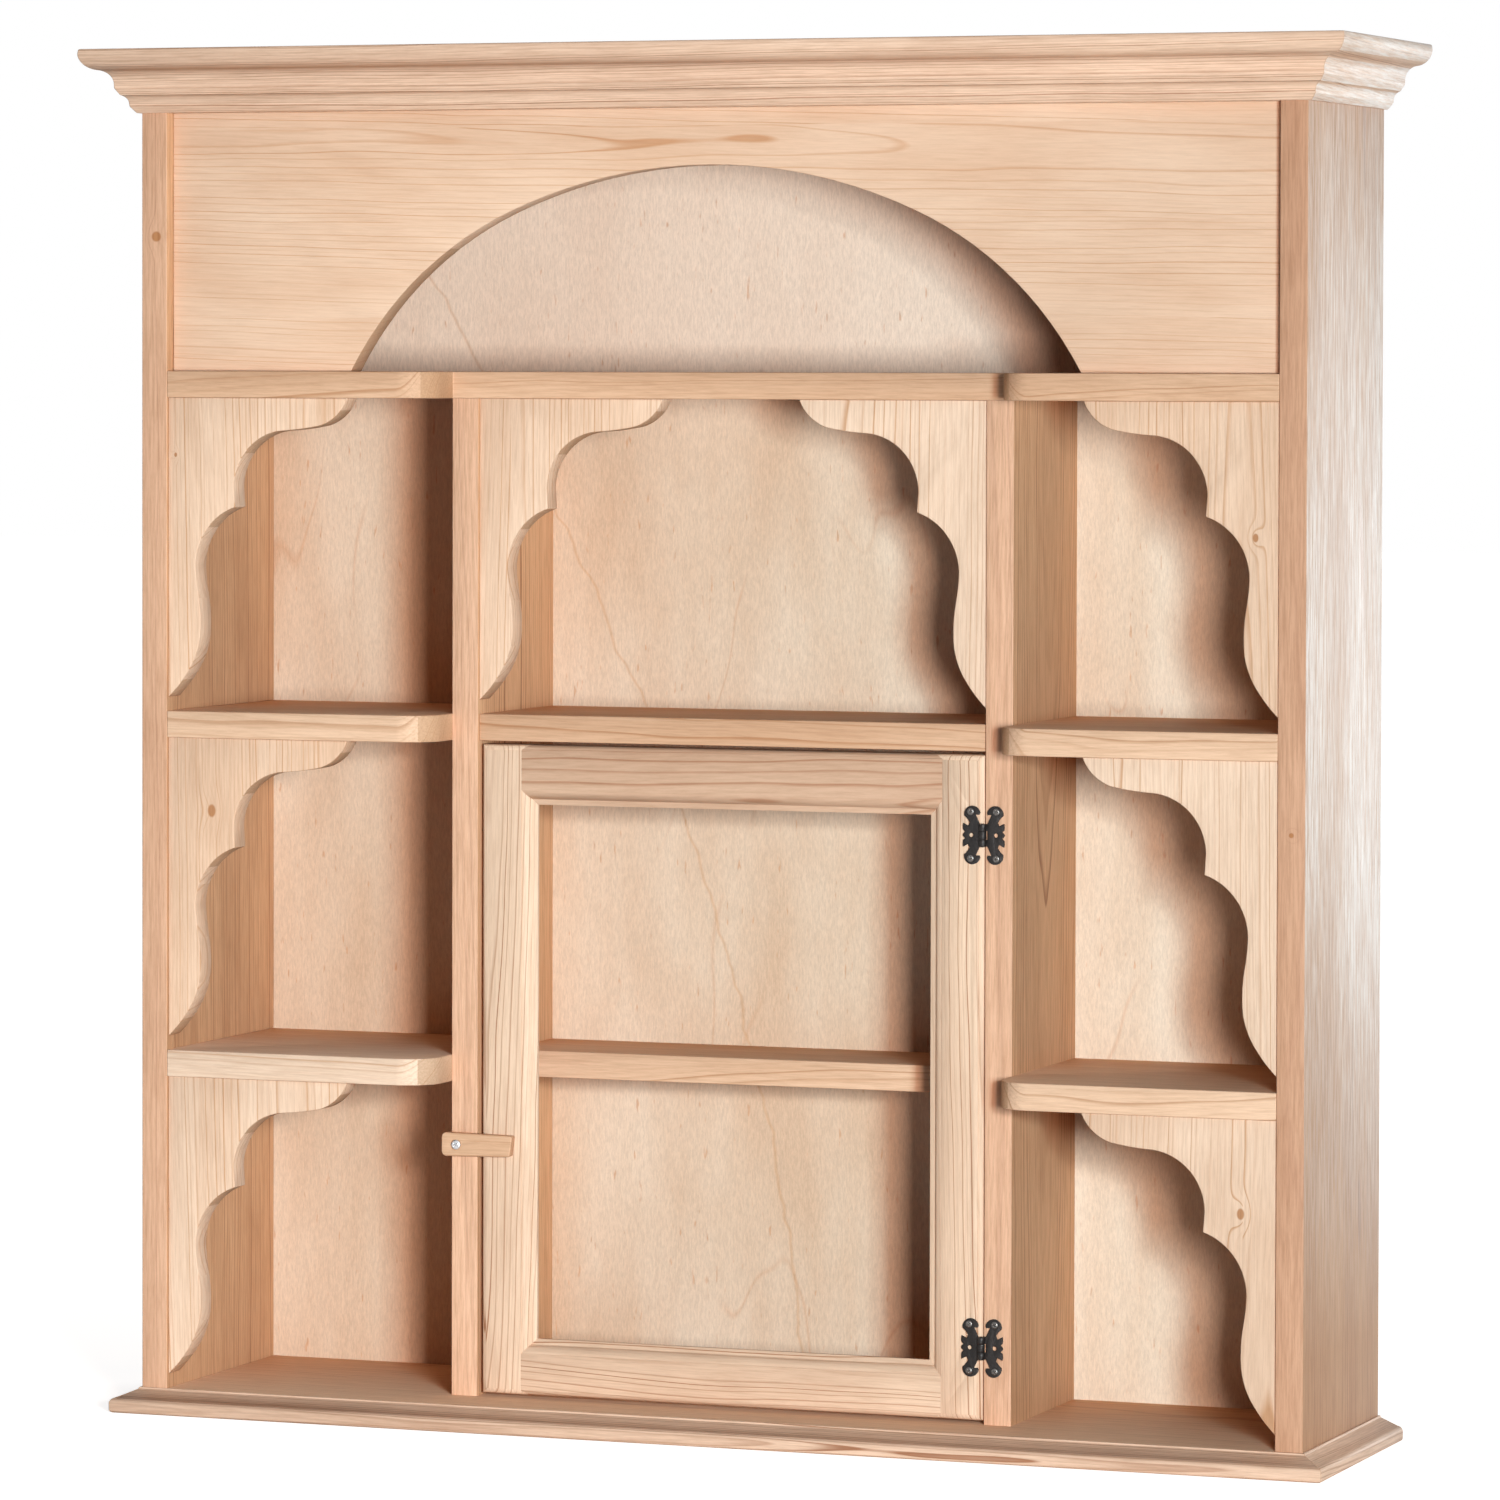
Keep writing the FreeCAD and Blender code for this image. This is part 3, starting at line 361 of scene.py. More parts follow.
def pine(name, early, late, edge, end, ring_mm=2.6, contrast=0.75, edge_share=0.0, drift_mm=7,
         late_from=0.4, fibre_share=0.12, roughness=0.62):
    """Sanded, unfinished pine: early and late wood, the colour of cut edges and of end grain."""
    material, tree = new_material(name)
    place = place_in_log(tree)
    cut = add(tree, "ShaderNodeAttribute", attribute_name="cut").outputs["Fac"]
    knot = add(tree, "ShaderNodeAttribute", attribute_name="knot").outputs["Vector"]
    knot_far = add(tree, "ShaderNodeVectorMath", {0: knot}, operation="LENGTH").outputs["Value"]
    radius = from_heart(tree, place, knot_far, drift_mm)
    late_wood = late_lines(tree, radius, ring_mm, late_from)
    fibre = fibres(tree, place)
    amount = add(tree, "ShaderNodeMath", {0: late_wood, 1: contrast}, operation="MULTIPLY")
    wood = add(tree, "ShaderNodeMix", {"Factor": amount, "A": linear(early), "B": linear(late)},
               data_type="RGBA")

    # The saw leaves edges and ends another colour: cut is 0 on a face, 0.5 on an edge, 1 on an end.
    on_edge = add(tree, "ShaderNodeMapRange",
                  {"Value": cut, "From Min": 0.0, "From Max": 0.5, "To Max": edge_share})
    edged = add(tree, "ShaderNodeMix", {"Factor": on_edge, "A": wood, "B": linear(edge)},
                data_type="RGBA")
    # Painted sheen: a near-white colour where light from the right grazes a face.
    bleached = add(tree, "ShaderNodeMix",
                   {"Factor": bleaching(tree, place, cut), "A": toned(tree, edged, place, late),
                    "B": linear(SHEEN_WHITE)}, data_type="RGBA")
    on_end = add(tree, "ShaderNodeMapRange",
                 {"Value": cut, "From Min": 0.5, "From Max": 1.0, "To Max": 0.55})
    ended = add(tree, "ShaderNodeMix", {"Factor": on_end, "A": bleached, "B": linear(end)},
                data_type="RGBA")

    # The knot itself is darker, with a soft rim.
    in_knot = add(tree, "ShaderNodeMapRange",
                  {"Value": knot_far, "From Min": 1.15, "From Max": 0.75, "To Max": 0.8},
                  interpolation_type="SMOOTHSTEP")
    knotted = add(tree, "ShaderNodeMix",
                  {"Factor": in_knot, "A": ended, "B": linear(KNOT_BROWN)}, data_type="RGBA")
    # Painted shade: thrown-back light takes a darker, redder colour.
    colour = with_painted_shade(tree, streaked(tree, knotted, fibre, fibre_share))

    relief = add(tree, "ShaderNodeMath", {0: fibre, 1: late_wood}, operation="ADD")
    bump = add(tree, "ShaderNodeBump", {"Height": relief, "Strength": 0.35, "Distance": RELIEF})
    shine = add(tree, "ShaderNodeMapRange",
                {"Value": late_wood, "To Min": roughness, "To Max": roughness - 0.12})
    shader = add(tree, "ShaderNodeBsdfPrincipled",
                 {"Base Color": colour, "Roughness": shine, "Normal": bump, "IOR": WOOD_IOR,
                  "Specular IOR Level": WOOD_GLOSS})
    show(tree, shader)
    return material


# %% [markdown]
# ### Pine for each kind of board
#
# The joiner picked the boards: pale sapwood for brackets and fascia, warmer wood with pinkish sawn
# edges for the sides, and in between for the shelves. A colour is given for early wood, late
# wood, sawn edge and end grain, and the width of a ring in millimetres.

# %% Pine for each kind of board
MATERIALS = {
    "pine_front": pine("pine_sapwood_planed", "#e9d1b9", "#b98352", "#cfac8c", "#ab8763",
                       ring_mm=3.8, contrast=0.85, drift_mm=4, late_from=0.62),
    "pine_fascia": pine("pine_clear_board", "#e8d0b8", "#b67d4b", "#c09b7a", "#a4805e",
                        ring_mm=4.8, contrast=0.7, drift_mm=7, late_from=0.76,
                        fibre_share=0.07),
    "pine_side": pine("pine_heartwood_planed", "#d6ae88", "#8b5430", "#e5bda2", "#a8835f",
                      ring_mm=3.4, contrast=1.0, edge_share=0.62, late_from=0.5,
                      fibre_share=0.17),
    "pine_shelf": pine("pine_shelf_board", "#e6c6a8", "#ab7950", "#dab89c", "#b38d69",
                       ring_mm=2.8, contrast=0.75, late_from=0.55),
    "pine_moulding": pine("pine_moulded", "#e9ccb3", "#945f3c", "#d4b49c", "#b08a68",
                          ring_mm=2.4, contrast=0.95, drift_mm=4, late_from=0.45,
                          fibre_share=0.15),
    "pine_door": pine("pine_door_frame", "#e7ceb4", "#965c33", "#dcbb9f", "#bb9270",
                      ring_mm=4.6, contrast=1.0, drift_mm=9, late_from=0.7, fibre_share=0.11),
    "pine_latch": pine("pine_latch_block", "#e0bf9f", "#c09370", "#e0bf9f", "#c69c7c",
                       ring_mm=2.2, contrast=0.7),
}
print("pine materials", len(MATERIALS))

# %% [markdown]
# ## Birch plywood
#
# The back is rotary-cut veneer, peeled off the log like paper off a roll. It has no rings, only
# fine short pores that run up the sheet, a silky patchiness, and thin brown lines where the knife
# crossed the edge of a ring. Most of them come and go: they are the level lines of a slow noise,
# like contours on a map. One runs down the whole sheet, and a rule for its lean draws it.

# %% Brown lines in the veneer
CONTOUR_MM, CONTOUR_LEVELS = 240, 5.0
COMES_AND_GOES_MM = 170
# The long line: its foot in metres, how far it leans there, and how the lean grows upward.
VEIN_FOOT = (-0.0466, 0.336)
VEIN_LEAN = 0.2625
VEIN_BEND = 0.277
VEIN_WAVE, VEIN_WAVE_MM = 16 * MM, 45
VEIN_CORE, VEIN_EDGE = 0.3 * MM, 2.5 * MM


def faint_lines(tree, place, broad):
    """Thin lines like contours on a map, which show only here and there."""
    contour = add(tree, "ShaderNodeTexNoise",
                  {"Vector": broad, "Scale": per_metre(CONTOUR_MM), "Detail": 3.0,
                   "Distortion": 0.3})
    steps = add(tree, "ShaderNodeMath", {0: contour.outputs[0], 1: CONTOUR_LEVELS},
                operation="MULTIPLY")
    turn = add(tree, "ShaderNodeMath", {0: steps}, operation="FRACT")
    off_line = add(tree, "ShaderNodeMath", {0: turn, 1: 0.5}, operation="SUBTRACT")
    distance = add(tree, "ShaderNodeMath", {0: off_line}, operation="ABSOLUTE")
    line = add(tree, "ShaderNodeMapRange",
               {"Value": distance, "From Min": 0.0, "From Max": 0.02, "To Min": 0.3,
                "To Max": 0.0})
    here = add(tree, "ShaderNodeTexNoise",
               {"Vector": place, "Scale": per_metre(COMES_AND_GOES_MM), "Detail": 1.0})
    some = add(tree, "ShaderNodeMapRange",
               {"Value": here.outputs[0], "From Min": 0.52, "From Max": 0.62})
    return add(tree, "ShaderNodeMath", {0: line, 1: some}, operation="MULTIPLY")


def long_vein(tree, spot):
    """The one long line. It leans to the left as it rises, more and more, and wavers a little."""
    rise = add(tree, "ShaderNodeMath", {0: spot.outputs["Z"], 1: VEIN_FOOT[1]},
               operation="SUBTRACT")
    lean = add(tree, "ShaderNodeMath", {0: rise, 1: VEIN_BEND, 2: VEIN_LEAN},
               operation="MULTIPLY_ADD")
    to_left = add(tree, "ShaderNodeMath", {0: lean, 1: rise, 2: -VEIN_FOOT[0]},
                  operation="MULTIPLY_ADD")
    from_line = add(tree, "ShaderNodeMath", {0: spot.outputs["X"], 1: to_left}, operation="ADD")
    wave = add(tree, "ShaderNodeTexNoise",
               {"W": spot.outputs["Z"], "Scale": per_metre(VEIN_WAVE_MM), "Detail": 2.0},
               noise_dimensions="1D")
    waved = add(tree, "ShaderNodeMath", {0: wave.outputs[0], 1: VEIN_WAVE, 2: from_line},
                operation="MULTIPLY_ADD")
    centred = add(tree, "ShaderNodeMath", {0: waved, 1: VEIN_WAVE / 2}, operation="SUBTRACT")
    off_vein = add(tree, "ShaderNodeMath", {0: centred}, operation="ABSOLUTE")
    return add(tree, "ShaderNodeMapRange",
               {"Value": off_vein, "From Min": VEIN_CORE, "From Max": VEIN_EDGE, "To Min": 0.36,
                "To Max": 0.0})


print("the long line is", 2 * VEIN_EDGE / MM, "mm wide at its soft edge")

# %% [markdown]
# ### The finished sheet
#
# Bare veneer gives the eye a pale, even sheet with a soft sheen and little relief. It is warmer on
# the left and paler on the right. Its front face has painted light high up, behind the arch: a
# paler colour for the light that falls there.

# %% Plywood material
PORE_MM, PORE_ALONG = 1.5, 0.2
DASH_MM = 4
CLOUD_MM, CLOUD_ALONG = 90, 0.3
# In metres: the height where the painted light on the front face begins, the sheet's depth, half
# its width.
PAINTED_LIGHT_FROM, PAINTED_LIGHT_FADE = 0.93, 20 * MM
SHEET_MIDDLE = 0.140
SHEET_SPAN = 0.45
SHEET_LEFT = (0.99, 0.945, 0.925, 1)
SHEET_RIGHT = (1.06, 1.12, 1.17, 1)


def painted_light_high_up(tree, base, spot):
    """Painted light: the front face in a paler colour above the shelves."""
    on_front = add(tree, "ShaderNodeMapRange",
                   {"Value": spot.outputs["Y"], "From Min": SHEET_MIDDLE + MM,
                    "From Max": SHEET_MIDDLE - MM})
    up_there = add(tree, "ShaderNodeMapRange",
                   {"Value": spot.outputs["Z"], "From Min": PAINTED_LIGHT_FROM,
                    "From Max": PAINTED_LIGHT_FROM + PAINTED_LIGHT_FADE, "To Max": 0.6})
    painted_light_behind_arch = add(tree, "ShaderNodeMath", {0: up_there, 1: on_front}, operation="MULTIPLY")
    return add(tree, "ShaderNodeMix",
               {"Factor": painted_light_behind_arch, "A": base, "B": linear("#ecdccb")}, data_type="RGBA")


def plywood(name):
    """Rotary-cut birch veneer with its grain upright."""
    material, tree = new_material(name)
    place = add(tree, "ShaderNodeTexCoord").outputs["Object"]
    spot = add(tree, "ShaderNodeSeparateXYZ", {"Vector": place})
    fine = add(tree, "ShaderNodeVectorMath", {0: place, 1: (1, 1, PORE_ALONG)},
               operation="MULTIPLY")
    pores = add(tree, "ShaderNodeTexNoise",
                {"Vector": fine, "Scale": per_metre(PORE_MM), "Detail": 3.0, "Roughness": 0.8})
    dashes = add(tree, "ShaderNodeTexNoise",
                 {"Vector": fine, "Scale": per_metre(DASH_MM), "Detail": 2.0})
    dash = add(tree, "ShaderNodeMapRange",
               {"Value": dashes.outputs[0], "From Min": 0.69, "From Max": 0.76, "To Max": 0.55})
    broad = add(tree, "ShaderNodeVectorMath", {0: place, 1: (1, 1, CLOUD_ALONG)},
                operation="MULTIPLY")
    cloud = add(tree, "ShaderNodeTexNoise",
                {"Vector": broad, "Scale": per_metre(CLOUD_MM), "Detail": 4.0})
    clouds = add(tree, "ShaderNodeMapRange",
                 {"Value": cloud.outputs[0], "From Min": 0.3, "From Max": 0.7})
    base = add(tree, "ShaderNodeMix",
               {"Factor": clouds, "A": linear("#ddcfba"), "B": linear("#cdb499")},
               data_type="RGBA")
    # Above the shelves the front face gets painted light.
    dashed = add(tree, "ShaderNodeMix",
                 {"Factor": dash, "A": painted_light_high_up(tree, base, spot), "B": linear("#c08e66")},
                 data_type="RGBA")
    lined = add(tree, "ShaderNodeMix",
                {"Factor": faint_lines(tree, place, broad), "A": dashed, "B": linear("#b98254")},
                data_type="RGBA")
    veined = add(tree, "ShaderNodeMix",
                 {"Factor": long_vein(tree, spot), "A": lined, "B": linear("#bd8f60")},
                 data_type="RGBA")
    speck = add(tree, "ShaderNodeMapRange",
                {"Value": pores.outputs[0], "From Min": 0.35, "From Max": 0.65, "To Min": 0.87,
                 "To Max": 1.07})
    specked = add(tree, "ShaderNodeVectorMath", {0: veined, "Scale": speck}, operation="SCALE")
    across = add(tree, "ShaderNodeMapRange",
                 {"Value": spot.outputs["X"], "From Min": -SHEET_SPAN, "From Max": SHEET_SPAN})
    sheet = add(tree, "ShaderNodeMix", {"Factor": across, "A": SHEET_LEFT, "B": SHEET_RIGHT},
                data_type="RGBA")
    veneer = add(tree, "ShaderNodeVectorMath", {0: specked, 1: sheet}, operation="MULTIPLY")
    bump = add(tree, "ShaderNodeBump",
               {"Height": pores.outputs[0], "Strength": 0.25, "Distance": 0.2 * MM})
    # Painted shade: thrown-back light takes a darker, redder colour.
    shader = add(tree, "ShaderNodeBsdfPrincipled",
                 {"Base Color": with_painted_shade(tree, veneer), "Roughness": 0.6, "Normal": bump,
                  "IOR": WOOD_IOR, "Specular IOR Level": WOOD_GLOSS})
    show(tree, shader)
    return material


MATERIALS["plywood"] = plywood("birch_plywood")
print("plywood nodes", len(MATERIALS["plywood"].node_tree.nodes))

# %% [markdown]
# ## Iron and zinc
#
# The butterfly hinges are cast iron under black lacquer: pitted, with a soft gloss on the crests.
# The screws are zinc plated: bright but not a mirror at the latch, blackened on the hinges.

# %% Metals
PIT_MM = 1.6
PLATING_MM = 0.8


def black_iron(name):
    """Cast iron under black lacquer: to the eye almost black, with a broken, soft gloss."""
    material, tree = new_material(name)
    place = add(tree, "ShaderNodeTexCoord").outputs["Object"]
    pits = add(tree, "ShaderNodeTexNoise",
               {"Vector": place, "Scale": per_metre(PIT_MM), "Detail": 4.0})
    colour = add(tree, "ShaderNodeMix",
                 {"Factor": pits.outputs[0], "A": linear("#0c0b0b"), "B": linear("#262221")},
                 data_type="RGBA")
    rough = add(tree, "ShaderNodeMapRange",
                {"Value": pits.outputs[0], "To Min": 0.25, "To Max": 0.6})
    bump = add(tree, "ShaderNodeBump",
               {"Height": pits.outputs[0], "Strength": 0.6, "Distance": 0.6 * MM})
    shader = add(tree, "ShaderNodeBsdfPrincipled",
                 {"Base Color": colour, "Roughness": rough, "Normal": bump, "IOR": 1.5,
                  "Specular IOR Level": 0.3})
    show(tree, shader)
    return material


def zinc(name, dark, light, smooth, coarse):
    """Zinc plating on a screw head: its dark and light grey, its least and most roughness."""
    material, tree = new_material(name)
    place = add(tree, "ShaderNodeTexCoord").outputs["Object"]
    grain = add(tree, "ShaderNodeTexNoise",
                {"Vector": place, "Scale": per_metre(PLATING_MM), "Detail": 3.0})
    colour = add(tree, "ShaderNodeMix",
                 {"Factor": grain.outputs[0], "A": linear(dark), "B": linear(light)},
                 data_type="RGBA")
    rough = add(tree, "ShaderNodeMapRange",
                {"Value": grain.outputs[0], "To Min": smooth, "To Max": coarse})
    shader = add(tree, "ShaderNodeBsdfPrincipled",
                 {"Base Color": colour, "Roughness": rough, "Metallic": 1.0})
    show(tree, shader)
    return material


MATERIALS["iron"] = black_iron("black_cast_iron")
MATERIALS["zinc"] = zinc("zinc_plated_steel", "#b4b6ba", "#e4e5e6", 0.22, 0.42)
MATERIALS["dark_zinc"] = zinc("blackened_zinc_plate", "#3c3a39", "#85827f", 0.28, 0.5)
print("materials", sorted(MATERIALS))

# %% [markdown]
# ## Sanded boards
#
# A CAD solid's edges are knife sharp, and real boards never are: the joiner breaks every edge with
# sandpaper. The CAD mesh is loose triangles and stays as it is. Each board is a copy of it, with
# its triangles merged into whole faces and a small round on every edge that turns sharply.

# %% Copy a solid and sand it
WELD = 0.002 * MM
FLAT_WITHIN = math.radians(0.3)
SHARP_FROM = math.radians(30)
ROUND_STEPS = 2


def plain(piece):
    """Turn a piece and its modifiers into one plain mesh."""
    depsgraph = bpy.context.evaluated_depsgraph_get()
    mesh = bpy.data.meshes.new_from_object(piece.evaluated_get(depsgraph))
    piece.modifiers.clear()
    piece.data = mesh
    return piece


def sanded(node, arris_mm):
    """A merged copy of a CAD node with its sharp edges rounded."""
    shape = bmesh.new()
    shape.from_mesh(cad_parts[node].data)
    bmesh.ops.remove_doubles(shape, verts=shape.verts, dist=WELD)
    bmesh.ops.dissolve_limit(shape, angle_limit=FLAT_WITHIN, verts=shape.verts,
                             edges=shape.edges)
    for face in shape.faces:
        face.smooth = True
    mesh = bpy.data.meshes.new(node + "_merged")
    shape.to_mesh(mesh)
    shape.free()
    piece = bpy.data.objects.new(node + "_sanded", mesh)
    bpy.context.scene.collection.objects.link(piece)
    arris = piece.modifiers.new("arris", "BEVEL")
    arris.width = arris_mm * MM
    arris.segments = ROUND_STEPS
    arris.limit_method = "ANGLE"
    arris.angle_limit = SHARP_FROM
    arris.harden_normals = True
    return plain(piece)


# %% [markdown]
# ## Where a board grew
#
# `grow` writes on every point of a board its place in the log: along the grain, across, and out
# from the heart. Edges and ends are marked, so that the material can colour them. A board glued up
# from strips gets a lane number too, and a knot is a place on the board with its own radius.

# %% Write the grain on a board
AXES = {"x": Vector((1, 0, 0)), "y": Vector((0, 1, 0)), "z": Vector((0, 0, 1))}
NO_KNOT = (50, 50, 0)
KNOT_STRETCH = 1.5
FIRST_LANE = 20
FACING = 0.6
chance = random.Random(11)


def write(mesh, name, values, kind="FLOAT", domain="POINT"):
    """Store one value, or one vector, for each point or face."""
    field = "vector" if kind == "FLOAT_VECTOR" else "value"
    mesh.attributes.new(name, kind, domain).data.foreach_set(field, values)


def grow(piece, along, face, heart_mm=None, lane_mm=None, tone=None, knot=None, knot_mm=6,
         growth=1.0, bleach=0.0):
    """Record where in the log each point of the piece grew. More growth makes wider rings."""
    mesh = piece.data
    run, out = AXES[along], AXES[face]
    across = out.cross(run)
    low = Vector(map(min, zip(*[v.co for v in mesh.vertices])))
    high = Vector(map(max, zip(*[v.co for v in mesh.vertices])))
    centre = (low + high) / 2
    side, deep = heart_mm or (chance.uniform(-70, 70), chance.uniform(25, 70))
    lean = (chance.uniform(-0.03, 0.03), chance.uniform(-0.02, 0.02))
    start = chance.uniform(-4, 4)
    tone = chance.uniform(0.0, 0.16) if tone is None else tone
    knot = knot or NO_KNOT
    log, lanes, knots = [], [], []
    for vertex in mesh.vertices:
        place = vertex.co - centre
        length, width, height = place @ run, place @ across, place @ out
        log += [length + start, (width + side * MM + lean[0] * length) / growth,
                (height + deep * MM + lean[1] * length) / growth]
        lanes.append(0.5 if lane_mm is None else FIRST_LANE + width / (lane_mm * MM))
        knots += [(length - knot[0]) / (KNOT_STRETCH * knot_mm * MM),
                  (width - knot[1]) / (knot_mm * MM),
                  (height - knot[2]) / (KNOT_STRETCH * knot_mm * MM)]
    cuts = []
    for polygon in mesh.polygons:
        on_face, on_end = abs(polygon.normal @ out), abs(polygon.normal @ run)
        cuts.append(0.0 if on_face > FACING else 1.0 if on_end > FACING else 0.5)
    write(mesh, "log", log, "FLOAT_VECTOR")
    write(mesh, "knot", knots, "FLOAT_VECTOR")
    write(mesh, "lane", lanes)
    write(mesh, "tone", [tone] * len(lanes))
    write(mesh, "bleach", [bleach] * len(lanes))
    write(mesh, "cut", cuts, domain="FACE")


# %% [markdown]
# ## From solid to board
#
# Every board goes the same way: sand it, grow it, give it its material, and say which body it
# rides on and which solid it stands for.

# %% Dress a piece
ARRIS_MM = 0.9
dressed = []


def dress(piece, material, body, node):
    """Give a piece its material and slot, the body that it rides on and the node it stands for."""
    piece.data.materials.clear()
    piece.data.materials.append(MATERIALS[material])
    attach(piece, body)
    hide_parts(node)
    dressed.append(node)


def board(node, material, along, face, body="cabinet", arris_mm=ARRIS_MM, **growth):
    """A solid made a sanded board, with its grain along one axis and its face to another."""
    piece = sanded(node, arris_mm)
    grow(piece, along, face, **growth)
    dress(piece, material, body, node)


# %% [markdown]
# ## The carcass
#
# Sides and dividers stand with their grain upright. A tone above 0 is warmer, and a heart far off
# to one side gives straight lines, while one behind the board gives arches. Light comes in from
# the right, so the right side gets a painted sheen: the whitish gloss of that light grazing it.

# %% Sides and dividers
board("side_board_left", "pine_side", "z", "x", heart_mm=(-30, 60), tone=0.16,
      knot=(0.463, 0.1205, 0.002), knot_mm=3.2)
# The right side's painted sheen stands for the gloss of light grazing it from the right.
board("side_board_right", "pine_side", "z", "x", heart_mm=(90, 20), tone=0.32, bleach=0.9,
      knot=(-0.055, 0.1205, 0.0), knot_mm=1.5)
board("divider_left", "pine_side", "z", "x", heart_mm=(30, -60), tone=-0.1)
board("divider_right", "pine_side", "z", "x", heart_mm=(40, 70), tone=0.0)
print("dressed so far", len(dressed))

# %% [markdown]
# The mouldings are planed to a profile from straight-grained stock, mitred at the corners. The
# short returns run front to back, the long fronts from left to right.

# %% Mouldings
board("crown_left", "pine_moulding", "y", "x", heart_mm=(110, 14))
# The right return gets a strong painted sheen for the light grazing it from the right.
board("crown_right", "pine_moulding", "y", "x", heart_mm=(110, 14), tone=0.0, bleach=2.6)
board("crown_front", "pine_moulding", "x", "y", heart_mm=(110, 14), tone=0.08)
board("base_left", "pine_moulding", "y", "x", tone=0.2)
board("base_right", "pine_moulding", "y", "x", tone=0.1)
board("base_front", "pine_moulding", "x", "y", heart_mm=(30, 22), tone=0.06)
print("dressed so far", len(dressed))

# %% [markdown]
# Shelves and the boards at top and bottom lie flat, with their grain from side to side. The
# fascia with the arch is glued up from lanes 85 mm wide.

# %% Shelves, top, bottom and fascia
for node, growth in (("bottom_board", {"tone": -0.1}), ("top_board", {}),
                     ("top_shelf", {"tone": 0.35}), ("niche_shelf", {"tone": 0.4}),
                     ("inner_shelf", {"tone": 0.14})):
    board(node, "pine_shelf", "x", "z", **growth)
board("crown_rail", "pine_front", "x", "y")
board("arch_fascia", "pine_fascia", "x", "y", heart_mm=(60, 30), lane_mm=85, tone=0.24)
for node, material, tone in (("upper_shelf_left", "pine_shelf", 0.06),
                             ("upper_shelf_right", "pine_shelf", 0.14),
                             ("lower_shelf_left", "pine_front", -0.1),
                             ("lower_shelf_right", "pine_shelf", -0.03)):
    board(node, material, "x", "z", tone=tone)
print("dressed so far", len(dressed))

# %% [markdown]
# The scalloped brackets are sawn from boards glued up of lanes 58 mm wide, with the grain upright.
# Five of them hold a small knot.

# %% Brackets
for node, tone, knot, knot_mm in (("top_bracket_left", 0.2, (0.084, -0.081, -0.012), 1.4),
                                 ("upper_bracket_left", 0.26, (0.070, -0.045, -0.012), 4),
                                 ("lower_bracket_left", 0.12, None, 6),
                                 ("niche_bracket_left", 0.18, (-0.054, -0.035, -0.012), 2.2),
                                 ("top_bracket_right", 0.22, (0.019, 0.067, -0.012), 2.6),
                                 ("upper_bracket_right", -0.06, None, 6),
                                 ("lower_bracket_right", 0.1, (0.054, 0.056, -0.012), 3.4),
                                 ("niche_bracket_right", -0.06, None, 6)):
    board(node, "pine_front", "z", "y", lane_mm=58, tone=tone, knot=knot, knot_mm=knot_mm)
print("dressed so far", len(dressed))

# %% [markdown]
# ## Back, door and hardware
#
# The plywood back is sawn, not planed, so its edges are barely broken. The door's members meet
# flush, so they keep crisp edges too: a wide round would open a groove at each joint. The hinge
# leaves are copies with a cast edge, and the pins stay as the CAD has them and only turn black.

# %% Back panel
back = sanded("back_panel", 0.3)
dress(back, "plywood", "cabinet", "back_panel")
print("back faces", len(back.data.polygons))

# %% Door frame and latch
for node, along, growth in (
        ("door_stile_left", "z", {"heart_mm": (60, 30), "tone": 0.02}),
        ("door_stile_right", "z", {"heart_mm": (-40, 45), "tone": 0.0}),
        ("door_rail_top", "x", {"heart_mm": (8, 40), "tone": 0.38, "growth": 1.5}),
        ("door_rail_bottom", "x", {"heart_mm": (50, 25), "tone": 0.1})):
    board(node, "pine_door", along, "y", body="door", arris_mm=0.25, **growth)
board("turn_latch", "pine_latch", "x", "y", body="latch", arris_mm=0.2, tone=0.25)
print("dressed so far", len(dressed))

# %% Hinges
for height in ("upper", "lower"):
    for owner, body in (("door", "door"), ("frame", "cabinet")):
        leaf = f"{height}_hinge_{owner}_leaf"
        dress(sanded(leaf, 0.3), "iron", body, leaf)
    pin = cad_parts[f"{height}_hinge_pin"]
    pin.data.materials.clear()
    pin.data.materials.append(MATERIALS["iron"])
print("dressed so far", len(dressed), "and two pins")

# %% [markdown]
# ## Screws
#
# All nine screws share one head: a low dome with a cross recess. The head is a height over a disc,
# so the recess is pressed into it by a rule. Geometry Nodes put a head on every seat and turn each
# one by its own random angle, as screws stop where they stop.

# %% One screw head
# All sizes are shares of the head's radius. The recess is a cross with sloping walls.
HEAD_RINGS = 14
HEAD_SPOKES = 48
DOME, DOME_REACH = 0.45, 0.93
RECESS_DEPTH = 0.34
RECESS_HALF, RECESS_WALL = 0.07, 0.05
RECESS_END, RECESS_RAMP = 0.62, 0.25
UNDERSIDE = ((1.0, 0.02), (0.5, 0.02), (0.5, 5.0))
TIP = 5.6


def head_height(x, y):
    """How far the head stands out at a place on it, as a share of its radius."""
    dome = DOME * math.sqrt(max(0.0, 1 - DOME_REACH * (x * x + y * y)))
    arm = max(0.0, 1 - max(0.0, min(abs(x), abs(y)) - RECESS_HALF) / RECESS_WALL)
    reach = max(0.0, min(1.0, (RECESS_END - max(abs(x), abs(y))) / RECESS_RAMP))
    return dome - RECESS_DEPTH * min(1.0, arm) * reach


